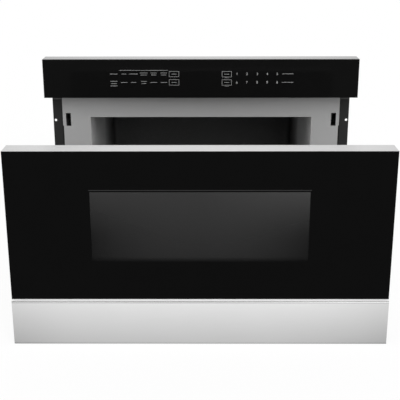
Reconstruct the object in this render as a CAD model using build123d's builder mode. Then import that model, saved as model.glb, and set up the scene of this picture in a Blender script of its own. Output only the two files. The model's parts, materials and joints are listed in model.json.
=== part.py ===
"""Built-in microwave drawer with a 24 inch front, modelled with its drawer pulled out.

Frame: x to the right as seen from the front, y into the cabinet, z up, in millimetres.
y = 0 is the face of the cabinet that the mounting flanges lie on, and z = 0 is the deck that the
base stands on. The drawer, and all that rides with it, stands drawer_travel in front of closed.
"""
import math
import os

from build123d import *

# ---- fronts and chassis --------------------------------------------------------------------------
front_width = 606.0        # control panel and drawer front
panel_height = 74.0
front_gap = 5.5            # between control panel and drawer front
door_height = 323.0
front_drop = 18.5          # how far the drawer front hangs below the deck
door_thickness = 39.0
case_inset = 29.0          # from each end of the fronts to the case
case_height = 294.0
case_depth = 570.0
drawer_travel = 380.0

# ---- sheet and clearances ------------------------------------------------------------------------
sheet = 1.0                # chassis steel
bracket_sheet = 1.5
seal_gap = 0.6             # closed drawer front to sealing plate
running_gap = 0.3          # between a sliding face and what it slides on
fit_gap = 0.5              # round a fixed piece that drops into an opening
shaft_clearance = 0.05     # radial, shaft in bore
slot_margin = 4.0          # round what passes through a slot

# ---- sealing plate and oven cavity ---------------------------------------------------------------
plate_proud = 4.0          # sealing plate in front of the cabinet face
plate_height = 373.0       # it stands above the case and carries the control panel
plate_fold = 18.0          # stiffening fold round the part above the case
ear_reach = 1.5            # the upper part of the plate is wider than the case by this
ear_bottom = 246.0
cavity_room = 54.0         # from the case to the cavity, each side
cavity_height = 180.0
cavity_depth = 420.0
cavity_floor = 83.5        # above the deck
cavity_flange = 14.0
cavity_corner = 12.0
latch_inset = 9.85         # from the side of the case to the middle of the slot
latch_slot_width = 9.7
latch_slot_height = 26.0
latch_slot_z = 258.5
dome_width = 220.0         # raised part of the cavity roof, round the stirrer
dome_length = 200.0
dome_front = 110.0
dome_height = 12.0
dome_ledge = 10.0

# ---- mounting flanges ----------------------------------------------------------------------------
flange_wing = 20.7         # beyond the side of the case
flange_leg = 18.0
flange_bottom = 4.0
flange_top = 302.0
flange_hole_edge = 4.7     # from the outer edge of the flange
flange_hole_z = (66.8, 256.8)
flange_hole_r = 2.5

# ---- fronts --------------------------------------------------------------------------------------
glass_thickness = 5.0
cap_thickness = 0.5
moulding_wall = 2.5
strip_height = 77.8        # stainless strip at the foot of the drawer front
strip_proud = 3.0          # in front of the glass
strip_sheet = 0.8
strip_bevel = 2.0
strip_groove = 0.9
window_width = 342.0
window_height = 116.0
window_middle_z = 181.5
window_rim = 7.0           # opening behind the glass beyond the window
choke_width = 28.0         # channel round the cavity mouth
choke_depth = 22.0
choke_mouth = 16.0
choke_overlap = 4.0        # flat sealing face beyond the cavity mouth
choke_cover_thickness = 1.2
finger_pitch = 48.0
finger_slot = 4.0
stiffener_height = 46.0
stiffener_z = 27.0
stiffener_back = 8.0       # from the back of the drawer front to the stiffener's web
stiffener_inset = 4.0      # from the side of the case
hook_length = 34.0
hook_thickness = 5.0
hook_height = 17.0
hook_lift = 5.0            # above the lower edge of the latch slot

# ---- slides --------------------------------------------------------------------------------------
slide_inset = 22.0         # from the side of the case to the cabinet member
slide_z = 29.0
slide_length = 450.0
slide_front = 4.0          # closed slides start this far behind the cabinet face
slide_steel = 1.2
slide_thickness = 12.7
outer_half = 21.0          # half height of each member
middle_half = 15.4
inner_half = 10.6
race_gap = 0.2             # each side of a ball
cage_length = 200.0
cage_steel = 0.5
balls_per_row = 2
bend_r = 1.6

# ---- rack and pinion -----------------------------------------------------------------------------
gear_module = 2.0
pinion_teeth = 16
pressure_angle = math.radians(20)
backlash = 0.24
pinion_y = 30.0
pinion_z = 24.0
pinion_width = 10.0
pinion_shaft_r = 4.0
rack_width = 12.0
rack_addendum = 0.9 * gear_module
rack_back = 5.0            # solid height behind the teeth
rack_slot_margin = 2.0

# ---- tub -----------------------------------------------------------------------------------------
tub_side_gap = 4.0
tub_wall = 3.0
tub_height = 110.0
tub_back_gap = 13.0
tub_lift = 3.0             # underside of the tub above the cavity floor
tub_corner = 28.0
tub_front_height = 17.0
tub_ledge, tub_ledge_r = 14.0, 12.0
tray_thickness = 4.0

# ---- places worked out from the sizes above ------------------------------------------------------
front_half = front_width / 2
case_half = front_half - case_inset
case_width = 2 * case_half
pan_half = case_half - sheet
flange_reach = case_half + flange_wing
flange_hole_x = flange_reach - flange_hole_edge
latch_slot_x = case_half - latch_inset
slide_x = case_half - slide_inset
stiffener_width = 2 * (case_half - stiffener_inset)
door_bottom = -front_drop
door_top = door_bottom + door_height
panel_bottom = door_top + front_gap
panel_top = panel_bottom + panel_height
strip_top = door_bottom + strip_height
plate_front = -plate_proud
plate_back = plate_front + sheet
panel_front = plate_front - seal_gap - door_thickness
panel_glass_back = panel_front + glass_thickness
cavity_half = case_half - cavity_room
cavity_width = 2 * cavity_half
cavity_top = cavity_floor + cavity_height
cavity_middle_z = cavity_floor + cavity_height / 2
cavity_back = plate_back + cavity_depth
dome_middle_y = dome_front + dome_length / 2
dome_top = cavity_top + sheet + dome_height
door_back = plate_front - seal_gap - drawer_travel
door_front = door_back - door_thickness
door_glass_back = door_front + glass_thickness
strip_front = door_front - strip_proud
choke_half_x = cavity_half + choke_overlap
choke_half_z = cavity_height / 2 + choke_overlap
window_back = door_back - sheet
stiffener_web = door_back - stiffener_back
pitch_r = gear_module * pinion_teeth / 2
tooth_pitch = math.pi * gear_module
pitch_line_z = pinion_z + pitch_r
rack_top = pitch_line_z + 1.25 * gear_module + rack_back
slide_inner_x = slide_x - slide_thickness
inner_slide_front = slide_front - drawer_travel
middle_slide_front = slide_front - drawer_travel / 2
tub_half = cavity_half - tub_side_gap
tub_bottom = cavity_floor + tub_lift
tub_back = cavity_back - tub_back_gap - drawer_travel


def across(y):
    """The plane across the object at depth y. extrude(amount=-d) from it goes back by d."""
    return Plane.XZ.offset(-y)


def span(side, low, high):
    """The x values low to high on the right, or their mirror image on the left."""
    return (low, high) if side > 0 else (-high, -low)


def patch(first, second, mode=Mode.ADD):
    """A rectangle in a sketch between two values on each of its axes."""
    with Locations(((first[0] + first[1]) / 2, (second[0] + second[1]) / 2)):
        Rectangle(first[1] - first[0], second[1] - second[0], mode=mode)


os.makedirs("parts", exist_ok=True)

# =================================================================================================
# Chassis
# =================================================================================================
pan_side = 15.0
back_fold = 12.0
upright_foot = 17.0
rib_length, rib_width, rib_height = 300.0, 10.0, 2.0
rib_places = (205.0, 350.0)                         # behind the cabinet face

# Base pan: a sheet with upturned sides and two stiffening ribs, and the uprights for the slides.
with BuildPart() as base_pan:
    with BuildSketch(across(plate_back)):
        patch((-pan_half, pan_half), (0, sheet))
        for side in (-1, 1):
            patch(span(side, pan_half - sheet, pan_half), (0, pan_side))
    extrude(amount=plate_back + sheet - case_depth)
    with BuildSketch(across(0)):
        for side in (-1, 1):
            patch(span(side, slide_x, slide_x + bracket_sheet), (sheet, slide_z + outer_half))
            patch(span(side, slide_x, slide_x + upright_foot), (sheet, sheet + bracket_sheet))
    extrude(amount=-slide_front - slide_length)
    with BuildSketch(Plane.XY.offset(sheet)):
        with Locations(*((0, y) for y in rib_places)):
            Rectangle(rib_length, rib_width)
    extrude(amount=rib_height, taper=30)
base_pan.part.label = "base_pan"
export_step(base_pan.part, "parts/base_pan.step")

# Outer case: one sheet folded over the top and down both sides, with louvres at the back.
louvre_width, louvre_length, louvre_pitch = 4.0, 60.0, 14.0
top_louvres, side_louvres = 9, 4
side_louvre_back, side_louvre_z = 75.0, 105.0       # middle of the side louvres, from the back
with BuildPart() as outer_case:
    with BuildSketch(across(0)):
        with BuildLine():
            Polyline(
                (-case_half, 0), (-case_half, case_height), (case_half, case_height), (case_half, 0)
            )
            offset(amount=sheet, side=Side.RIGHT)
        make_face()
    extrude(amount=-case_depth)
    with BuildSketch(Plane.XY.offset(case_height)):
        with Locations((0, case_depth - louvre_length)):
            with GridLocations(louvre_pitch, 1, top_louvres, 1):
                Rectangle(louvre_width, louvre_length)
    extrude(amount=-sheet, mode=Mode.SUBTRACT)
    with BuildSketch(Plane.YZ.offset(-case_half)):
        with Locations((case_depth - side_louvre_back, side_louvre_z)):
            with GridLocations(louvre_pitch, 1, side_louvres, 1):
                Rectangle(louvre_width, louvre_length)
    extrude(amount=case_width, mode=Mode.SUBTRACT)
outer_case.part.label = "outer_case"
export_step(outer_case.part, "parts/outer_case.step")

# Back panel: a sheet with folds top and bottom, an air grille and the hole for the cord gland.
gland_inset, gland_drop = 49.0, 43.0                # from the side and the top of the case
gland_z = case_height - gland_drop
gland_x = gland_inset - case_half
gland_neck_r = 9.0
gland_bore_r = 4.6
gland_length = 22.0
gland_inside = 7.0                                  # of the neck in front of the panel
gland_front = case_depth - sheet - gland_inside
blower_inset = 139.0                                # from the side of the case to the axis
blower_x, blower_z = case_half - blower_inset, 66.0
grille_columns, grille_rows = 6, 2
grille_pitch_x, grille_pitch_z = 11.0, 42.0
grille_slot_width, grille_slot_height = 5.0, 34.0
with BuildPart() as back_panel:
    back_y = case_depth - sheet
    with BuildSketch(across(back_y)):
        patch((-pan_half, pan_half), (sheet, case_height - sheet))
        with Locations((blower_x, blower_z)):
            with GridLocations(grille_pitch_x, grille_pitch_z, grille_columns, grille_rows):
                Rectangle(grille_slot_width, grille_slot_height, mode=Mode.SUBTRACT)
        with Locations((gland_x, gland_z)):
            Circle(gland_neck_r + shaft_clearance, mode=Mode.SUBTRACT)
    extrude(amount=-sheet)
    with BuildSketch(across(back_y)):
        fold_half = pan_half - 2 * sheet
        patch((-fold_half, fold_half), (sheet, 2 * sheet))
        patch((-fold_half, fold_half), (case_height - 2 * sheet, case_height - sheet))
    extrude(amount=back_fold)
back_panel.part.label = "back_panel"
export_step(back_panel.part, "parts/back_panel.step")

# Sealing plate: the flat grey face that the drawer front closes on, folded back to the case.
slide_slot_x = (slide_inner_x - slot_margin, slide_x + sheet)
slide_slot_z = (slide_z - outer_half, slide_z + outer_half)
rack_slot_x = rack_width / 2 + rack_slot_margin
rack_slot_z = (pitch_line_z - rack_addendum - rack_slot_margin, rack_top + rack_slot_margin)
with BuildPart() as front_plate:
    with BuildSketch(across(plate_front)):
        patch((-case_half, case_half), (0, plate_height))
        patch((-case_half - ear_reach, case_half + ear_reach), (ear_bottom, plate_height))
        patch((-cavity_half, cavity_half), (cavity_floor, cavity_top), Mode.SUBTRACT)
        patch((-rack_slot_x, rack_slot_x), rack_slot_z, Mode.SUBTRACT)
        for side in (-1, 1):
            patch(span(side, *slide_slot_x), slide_slot_z, Mode.SUBTRACT)
        with Locations((-latch_slot_x, latch_slot_z), (latch_slot_x, latch_slot_z)):
            Rectangle(latch_slot_width, latch_slot_height, mode=Mode.SUBTRACT)
    extrude(amount=-sheet)
    with BuildSketch(across(plate_back)):
        with BuildLine():
            Polyline(
                (-case_half, 0), (-case_half, case_height), (case_half, case_height), (case_half, 0)
            )
            offset(amount=sheet, side=Side.RIGHT)
        make_face()
    extrude(amount=plate_back)
    with BuildSketch(across(plate_back)):
        with BuildLine():
            Polyline(
                (-case_half, case_height), (-case_half, plate_height),
                (case_half, plate_height), (case_half, case_height),
            )
            offset(amount=sheet, side=Side.RIGHT)
        make_face()
    extrude(amount=-plate_fold)
front_plate.part.label = "front_plate"
export_step(front_plate.part, "parts/front_plate.step")

# Oven cavity: a box open to the front with a welded mouth flange, a raised dome in its roof for the
# stirrer, the inlet of the waveguide in the dome and a lamp grille in the right-hand wall.
wave_width, wave_height = 82.0, 16.0
wave_sheet = 1.0
wave_setback = 130.0                                # behind the front of the dome
wave_front = dome_front + wave_setback
inlet_width, inlet_length, inlet_margin = 70.0, 44.0, 12.0
inlet_y = wave_front + inlet_margin + inlet_length / 2
stirrer_y = 184.0
stirrer_shaft_r = 3.0
stirrer_hole_r = 6.0
lamp_setback, lamp_z = 67.0, 223.0                   # in front of the cavity's back wall
lamp_y = cavity_back - lamp_setback
lamp_slots, lamp_slot_pitch = 5, 7.0
lamp_slot_width, lamp_slot_height = 3.0, 26.0
with BuildPart() as cavity_shell:
    for grow, mode in ((sheet, Mode.ADD), (0, Mode.SUBTRACT)):
        with BuildSketch(Plane.XY.offset(cavity_floor - grow)) as plan:
            patch((-cavity_half - grow, cavity_half + grow), (plate_back, cavity_back + grow))
            fillet(plan.vertices().group_by(Axis.Y)[-1], radius=cavity_corner + grow)
        extrude(amount=cavity_height + 2 * grow, mode=mode)
    with BuildSketch(across(plate_back)):
        with Locations((0, cavity_middle_z)):
            Rectangle(cavity_width + 2 * cavity_flange, cavity_height + 2 * cavity_flange)
            Rectangle(cavity_width, cavity_height, mode=Mode.SUBTRACT)
    extrude(amount=-sheet)
    for shrink, low, high, mode in (
        (0, cavity_top + sheet, dome_top, Mode.ADD),
        (sheet, cavity_top + sheet, dome_top - sheet, Mode.SUBTRACT),
        (dome_ledge, cavity_top, cavity_top + sheet, Mode.SUBTRACT),
    ):
        with BuildSketch(Plane.XY.offset(low)):
            with Locations((0, dome_middle_y)):
                Rectangle(dome_width - 2 * shrink, dome_length - 2 * shrink)
        extrude(amount=high - low, mode=mode)
    with BuildSketch(Plane.XY.offset(dome_top)):
        with Locations((0, inlet_y)):
            Rectangle(inlet_width, inlet_length)
        with Locations((0, stirrer_y)):
            Circle(stirrer_hole_r)
    extrude(amount=-sheet, mode=Mode.SUBTRACT)
    with BuildSketch(Plane.YZ.offset(cavity_half)):
        with Locations((lamp_y, lamp_z)):
            with GridLocations(lamp_slot_pitch, 1, lamp_slots, 1):
                Rectangle(lamp_slot_width, lamp_slot_height)
    extrude(amount=sheet, mode=Mode.SUBTRACT)
cavity_shell.part.label = "cavity_shell"
export_step(cavity_shell.part, "parts/cavity_shell.step")

# Mounting flanges: dark angle strips along the case with two cabinet screw holes each.
with BuildPart() as right_mounting_flange:
    with BuildSketch(Plane.XY.offset(flange_bottom)):
        with BuildLine():
            Polyline((flange_reach, -sheet), (case_half, -sheet), (case_half, flange_leg))
            offset(amount=sheet, side=Side.RIGHT)
        make_face()
    extrude(amount=flange_top - flange_bottom)
    with BuildSketch(across(-sheet)):
        with Locations(*((flange_hole_x, z) for z in flange_hole_z)):
            Circle(flange_hole_r)
    extrude(amount=-sheet, mode=Mode.SUBTRACT)
right_mounting_flange.part.label = "right_mounting_flange"
export_step(right_mounting_flange.part, "parts/right_mounting_flange.step")

with BuildPart() as left_mounting_flange:
    mirror(right_mounting_flange.part, about=Plane.YZ)
left_mounting_flange.part.label = "left_mounting_flange"
export_step(left_mounting_flange.part, "parts/left_mounting_flange.step")

# =================================================================================================
# Control panel
# =================================================================================================
board_gap = 12.0                                    # back wall of the housing to the board
board_width, board_height, board_thickness = 430.0, 56.0, 1.6
boss_width, boss_inset = 6.0, 8.0
end_rib_gap = 30.0                                  # board to the ribs of the housing
display_width, display_height = 64.0, 26.0
display_wall, display_recess = 3.0, 1.0
panel_middle_z = (panel_bottom + panel_top - cap_thickness) / 2
housing_height = panel_height - cap_thickness
housing_inner_back = plate_front - moulding_wall

# Housing: a moulded tray, open to the front, with bosses for the board and a rib at each end.
with BuildPart() as panel_housing:
    with BuildSketch(across(plate_front)):
        with Locations((0, panel_middle_z)):
            Rectangle(front_width, housing_height)
    extrude(amount=plate_front - panel_glass_back)
    with BuildSketch(across(panel_glass_back)):
        with Locations((0, panel_middle_z)):
            Rectangle(front_width - 2 * moulding_wall, housing_height - 2 * moulding_wall)
    extrude(amount=panel_glass_back - housing_inner_back, mode=Mode.SUBTRACT)
    with BuildSketch(across(housing_inner_back)):
        with Locations((0, panel_middle_z)):
            with GridLocations(board_width - 2 * boss_inset, board_height - 2 * boss_inset, 2, 2):
                Rectangle(boss_width, boss_width)
            with GridLocations(board_width + 2 * end_rib_gap, 1, 2, 1):
                Rectangle(moulding_wall, housing_height - moulding_wall)
    extrude(amount=board_gap)
panel_housing.part.label = "panel_housing"
export_step(panel_housing.part, "parts/panel_housing.step")

# Glass: the flat front of the control panel, its edges broken by a small chamfer.
glass_chamfer, cap_chamfer = 0.5, 0.2
with BuildPart() as panel_glass:
    with BuildSketch(across(panel_glass_back)):
        with Locations((0, panel_middle_z)):
            Rectangle(front_width, housing_height)
    extrude(amount=glass_thickness)
    chamfer(panel_glass.faces().sort_by(Axis.Y)[0].edges(), length=glass_chamfer)
panel_glass.part.label = "panel_glass"
export_step(panel_glass.part, "parts/panel_glass.step")

# Cap: the pale metal strip over the top of the housing and the glass.
with BuildPart() as panel_cap:
    with BuildSketch(Plane.XY.offset(panel_top - cap_thickness)):
        patch((-front_half, front_half), (panel_front, plate_front))
    extrude(amount=cap_thickness)
    chamfer(panel_cap.edges().group_by(Axis.Z)[-1].filter_by(Axis.X), length=cap_chamfer)
panel_cap.part.label = "panel_cap"
export_step(panel_cap.part, "parts/panel_cap.step")

# Control board with relays and connectors on its back, and the display in front of it.
board_back = housing_inner_back - board_gap
board_front = board_back - board_thickness
relay_x, relay_pitch, relay_width, relay_height = -120.0, 24.0, 16.0, 20.0
plug_x, plug_width, plug_height = 90.0, 26.0, 8.0
plug_pitch_x, plug_pitch_z = 36.0, 22.0
with BuildPart() as control_board:
    with BuildSketch(across(board_back)):
        with Locations((0, panel_middle_z)):
            Rectangle(board_width, board_height)
    extrude(amount=board_thickness)
    with BuildSketch(across(board_back)):
        with Locations((relay_x, panel_middle_z)):
            with GridLocations(relay_pitch, 1, 3, 1):
                Rectangle(relay_width, relay_height)
        with Locations((plug_x, panel_middle_z)):
            with GridLocations(plug_pitch_x, plug_pitch_z, 3, 2):
                Rectangle(plug_width, plug_height)
    extrude(amount=-board_gap + fit_gap)
control_board.part.label = "control_board"
export_step(control_board.part, "parts/control_board.step")

with BuildPart() as display_module:
    with BuildSketch(across(board_front)):
        with Locations((0, panel_middle_z)):
            Rectangle(display_width, display_height)
    extrude(amount=board_front - panel_glass_back)
    with BuildSketch(across(panel_glass_back)):
        with Locations((0, panel_middle_z)):
            Rectangle(display_width - 2 * display_wall, display_height - 2 * display_wall)
    extrude(amount=-display_recess, mode=Mode.SUBTRACT)
display_module.part.label = "display_module"
export_step(display_module.part, "parts/display_module.step")

# =================================================================================================
# Microwave supply
# =================================================================================================
cover_thickness = 1.5
stirrer_motor_r, stirrer_motor_height = 25.0, 15.0
stirrer_r, stirrer_blade_sheet = 62.0, 1.2
stirrer_lift = 5.0                                  # hub above the cavity roof
stirrer_z = cavity_top + stirrer_lift
stirrer_hub_r, stirrer_hub_height = 8.0, 6.0
stirrer_blades, blade_width, blade_pitch = 4, 22.0, 18.0
blade_root = 4.0                                    # of each blade inside the hub
shaft_reach = 6.0                                   # of the spindle into its motor

# Stirrer cover: the flat plate in the cavity roof that lets the waves through.
with BuildPart() as stirrer_cover:
    with BuildSketch(Plane.XY.offset(cavity_top)):
        with Locations((0, dome_middle_y)):
            Rectangle(dome_width - dome_ledge, dome_length - dome_ledge)
    extrude(amount=-cover_thickness)
stirrer_cover.part.label = "stirrer_cover"
export_step(stirrer_cover.part, "parts/stirrer_cover.step")

# Stirrer: four pitched sheet blades on a hub and its spindle, which hangs from the motor.
with BuildPart() as stirrer_blade:
    with BuildSketch(Plane.XY.offset(stirrer_z - 1)):
        with Locations((0, stirrer_y)):
            Rectangle(2 * stirrer_hub_r, 2 * stirrer_hub_r)
    extrude(amount=stirrer_hub_height)
    with BuildSketch(Plane.XY.offset(stirrer_z)):
        with Locations((0, stirrer_y)):
            Circle(stirrer_shaft_r)
    extrude(amount=dome_top + shaft_reach - stirrer_z)
    with Locations((0, stirrer_y, stirrer_z - 1 + stirrer_hub_height / 2)):
        with PolarLocations((stirrer_hub_r + stirrer_r) / 2, stirrer_blades):
            blade_length = stirrer_r - stirrer_hub_r + blade_root
            Box(blade_length, blade_width, stirrer_blade_sheet, rotation=(blade_pitch, 0, 0))
stirrer_blade.part.label = "stirrer_blade"
export_step(stirrer_blade.part, "parts/stirrer_blade.step")

# Stirrer motor: a flat geared motor with two screw ears, standing on the dome.
motor_ear, motor_ear_width = 12.0, 10.0
with BuildPart() as stirrer_motor:
    with BuildSketch(Plane.XY.offset(dome_top)):
        with Locations((0, stirrer_y)):
            Circle(stirrer_motor_r)
            Rectangle(2 * (stirrer_motor_r + motor_ear), motor_ear_width)
            Circle(stirrer_shaft_r + shaft_clearance, mode=Mode.SUBTRACT)
    extrude(amount=sheet)
    with BuildSketch(Plane.XY.offset(dome_top + sheet)):
        with Locations((0, stirrer_y)):
            Circle(stirrer_motor_r)
    extrude(amount=stirrer_motor_height - sheet)
    with BuildSketch(Plane.XY.offset(dome_top)):
        with Locations((0, stirrer_y)):
            Circle(stirrer_shaft_r + shaft_clearance)
    extrude(amount=shaft_reach + fit_gap, mode=Mode.SUBTRACT)
stirrer_motor.part.label = "stirrer_motor"
export_step(stirrer_motor.part, "parts/stirrer_motor.step")

# Waveguide: a closed rectangular duct from the magnetron's aerial to the inlet in the dome.
aerial_r, aerial_gap = 8.0, 4.0
aerial_length = wave_height - wave_sheet - aerial_gap
magnetron_setback, wave_end = 61.0, 40.0            # behind the cavity, and past the aerial
magnetron_y = cavity_back + magnetron_setback
wave_back = magnetron_y + wave_end
wave_length = wave_back - wave_front
wave_middle_y = (wave_front + wave_back) / 2
with BuildPart() as waveguide:
    with BuildSketch(Plane.XY.offset(dome_top)):
        with Locations((0, wave_middle_y)):
            Rectangle(wave_width, wave_length)
    extrude(amount=wave_height)
    with BuildSketch(Plane.XY.offset(dome_top + wave_sheet)):
        with Locations((0, wave_middle_y)):
            Rectangle(wave_width - 2 * wave_sheet, wave_length - 2 * wave_sheet)
    extrude(amount=wave_height - 2 * wave_sheet, mode=Mode.SUBTRACT)
    with BuildSketch(Plane.XY.offset(dome_top)):
        with Locations((0, inlet_y)):
            Rectangle(inlet_width, inlet_length)
        with Locations((0, magnetron_y)):
            Circle(aerial_r + aerial_gap)
    extrude(amount=wave_sheet, mode=Mode.SUBTRACT)
waveguide.part.label = "waveguide"
export_step(waveguide.part, "parts/waveguide.step")

# Magnetron: anode and ring magnet in a folded yoke with cooling fins, hung under the waveguide.
yoke_width, yoke_length, yoke_height, yoke_sheet = 96.0, 78.0, 84.0, 2.0
fin_count, fin_pitch, fin_sheet = 6, 8.0, 0.8
anode_width, magnet_r, magnet_height = 40.0, 27.0, 12.0
choke_box_width, choke_box_height = 70.0, 34.0      # shielded box under the yoke
yoke_bottom = dome_top - yoke_height
yoke_middle = dome_top - yoke_height / 2
with BuildPart() as magnetron:
    with BuildSketch(across(magnetron_y - yoke_length / 2)):
        with Locations((0, yoke_middle)):
            Rectangle(yoke_width, yoke_height)
            Rectangle(yoke_width - 2 * yoke_sheet, yoke_height - 2 * yoke_sheet, mode=Mode.SUBTRACT)
            with GridLocations(1, fin_pitch, 1, fin_count):
                Rectangle(yoke_width - 2 * yoke_sheet, fin_sheet)
    extrude(amount=-yoke_length)
    with BuildSketch(Plane.XY.offset(yoke_bottom + yoke_sheet)):
        with Locations((0, magnetron_y)):
            Rectangle(anode_width, anode_width)
    extrude(amount=yoke_height - 2 * yoke_sheet)
    with BuildSketch(Plane.XY.offset(dome_top - yoke_sheet)):
        with Locations((0, magnetron_y)):
            Circle(magnet_r)
    extrude(amount=-magnet_height)
    with BuildSketch(Plane.XY.offset(dome_top)):
        with Locations((0, magnetron_y)):
            Circle(aerial_r)
    extrude(amount=aerial_length)
    with BuildSketch(Plane.XY.offset(yoke_bottom)):
        with Locations((0, magnetron_y)):
            Rectangle(choke_box_width, choke_box_width)
    extrude(amount=-choke_box_height)
magnetron.part.label = "magnetron"
export_step(magnetron.part, "parts/magnetron.step")

# Transformer: a laminated core with two windows, both filled by the rounded windings round its limb.
can_inset, core_offset = 58.0, 107.0                # case to capacitor, capacitor to transformer
core_setback = 61.0                                 # in front of the back of the case
can_x = can_inset - pan_half
core_x, core_y = can_x + core_offset, case_depth - core_setback
core_width, core_depth, core_height = 104.0, 62.0, 88.0
core_foot, core_flange = 3.0, 12.0
winding_corner = 16.0
limb_width, window_w, window_h = 34.0, 18.0, 54.0
with BuildPart() as hv_transformer:
    core_middle_z = sheet + core_foot + core_height / 2
    with BuildSketch(across(core_y - core_depth / 2)):
        with Locations((core_x, core_middle_z)):
            Rectangle(core_width, core_height)
            with GridLocations(limb_width + window_w, 1, 2, 1):
                Rectangle(window_w, window_h, mode=Mode.SUBTRACT)
        foot_half = core_width / 2 + core_flange
        patch((core_x - foot_half, core_x + foot_half), (sheet, sheet + core_foot))
    extrude(amount=-core_depth)
    with BuildSketch(Plane.XY.offset(core_middle_z - window_h / 2 + fit_gap)):
        with Locations((core_x, core_y)):
            winding = 2 * (window_w - fit_gap)
            RectangleRounded(limb_width + winding, core_depth + winding, winding_corner)
            Rectangle(limb_width, core_depth, mode=Mode.SUBTRACT)
    extrude(amount=window_h - 2 * fit_gap)
hv_transformer.part.label = "hv_transformer"
export_step(hv_transformer.part, "parts/hv_transformer.step")

# Capacitor: an oval can lying on the pan in a strap, with two blade terminals.
can_width, can_height, can_length = 50.0, 32.0, 88.0
strap_width, strap_foot = 16.0, 40.0
terminal_width, terminal_height, terminal_length = 24.0, 12.0, 6.0
with BuildPart() as hv_capacitor:
    with BuildSketch(across(core_y - can_length / 2)):
        with Locations((can_x, sheet + can_height / 2)):
            SlotOverall(can_width, can_height)
    extrude(amount=-can_length)
    with BuildSketch(across(core_y - strap_width / 2)):
        strap_half = can_width / 2 + bracket_sheet
        patch((can_x - strap_half, can_x + strap_half), (sheet, sheet + can_height + bracket_sheet))
        patch((can_x - strap_foot, can_x + strap_foot), (sheet, sheet + bracket_sheet))
    extrude(amount=-strap_width)
    with BuildSketch(across(core_y - can_length / 2)):
        with Locations((can_x, sheet + can_height / 2)):
            Rectangle(terminal_width, terminal_height)
    extrude(amount=terminal_length)
hv_capacitor.part.label = "hv_capacitor"
export_step(hv_capacitor.part, "parts/hv_capacitor.step")

# Cord gland: six-sided flange outside the back panel, neck through it, bore for the cord.
gland_flange, gland_flange_thickness = 5.0, 4.0
with BuildPart() as cord_gland:
    with BuildSketch(across(case_depth)):
        with Locations((gland_x, gland_z)):
            RegularPolygon(gland_neck_r + gland_flange, 6)
    extrude(amount=-gland_flange_thickness)
    with BuildSketch(across(gland_front)):
        with Locations((gland_x, gland_z)):
            Circle(gland_neck_r)
    extrude(amount=-gland_length)
    with BuildSketch(across(gland_front)):
        with Locations((gland_x, gland_z)):
            Circle(gland_bore_r)
    extrude(amount=-gland_length, mode=Mode.SUBTRACT)
cord_gland.part.label = "cord_gland"
export_step(cord_gland.part, "parts/cord_gland.step")

# Noise filter: a small board on four posts inside the back panel, with its choke and fuse.
filter_offset = 75.0                                # beside the gland
filter_x = gland_x + filter_offset
filter_width, filter_board_height, post_width, post_length = 70.0, 50.0, 5.0, 10.0
coil_x, coil_width, coil_height = -11.0, 30.0, 26.0   # from the middle of the board
fuse_x, fuse_width, fuse_height = 21.0, 8.0, 34.0
filter_parts_depth = 14.0
with BuildPart() as noise_filter:
    filter_y = case_depth - sheet - post_length
    with BuildSketch(across(filter_y)):
        with Locations((filter_x, gland_z)):
            Rectangle(filter_width, filter_board_height)
    extrude(amount=board_thickness)
    with BuildSketch(across(filter_y)):
        with Locations((filter_x, gland_z)):
            post_pitch_x = filter_width - 2 * post_width
            with GridLocations(post_pitch_x, filter_board_height - 2 * post_width, 2, 2):
                Rectangle(post_width, post_width)
    extrude(amount=-post_length)
    with BuildSketch(across(filter_y - board_thickness)):
        with Locations((filter_x + coil_x, gland_z)):
            Rectangle(coil_width, coil_height)
        with Locations((filter_x + fuse_x, gland_z)):
            Rectangle(fuse_width, fuse_height)
    extrude(amount=filter_parts_depth)
noise_filter.part.label = "noise_filter"
export_step(noise_filter.part, "parts/noise_filter.step")

# Oven lamp: a socket on an angle bracket outside the cavity wall, its bulb facing the grille.
bulb_r, bulb_gap, bulb_length = 9.0, 5.0, 26.0
socket_width, socket_height = 24.0, 16.0
lamp_plate_z = 22.0                                 # above the middle of the grille
lamp_plate_reach, lamp_plate_half, lamp_plate_fold = 36.0, 18.0, 14.0
with BuildPart() as oven_lamp:
    lamp_wall = cavity_half + sheet
    bulb_x = lamp_wall + bulb_gap + bulb_r
    lamp_side = (lamp_y - lamp_plate_half, lamp_y + lamp_plate_half)
    with BuildSketch(Plane.XY.offset(lamp_z + lamp_plate_z)):
        patch((lamp_wall, lamp_wall + lamp_plate_reach), lamp_side)
    extrude(amount=bracket_sheet)
    with BuildSketch(Plane.YZ.offset(lamp_wall)):
        patch(lamp_side, (lamp_z + lamp_plate_z, lamp_z + lamp_plate_z + lamp_plate_fold))
    extrude(amount=bracket_sheet)
    with BuildSketch(Plane.XY.offset(lamp_z + lamp_plate_z)):
        with Locations((bulb_x, lamp_y)):
            Rectangle(socket_width, socket_width)
    extrude(amount=-socket_height)
    with BuildSketch(Plane.XY.offset(lamp_z + lamp_plate_z - socket_height)):
        with Locations((bulb_x, lamp_y)):
            Circle(bulb_r)
    extrude(amount=-bulb_length)
oven_lamp.part.label = "oven_lamp"
export_step(oven_lamp.part, "parts/oven_lamp.step")

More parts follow.
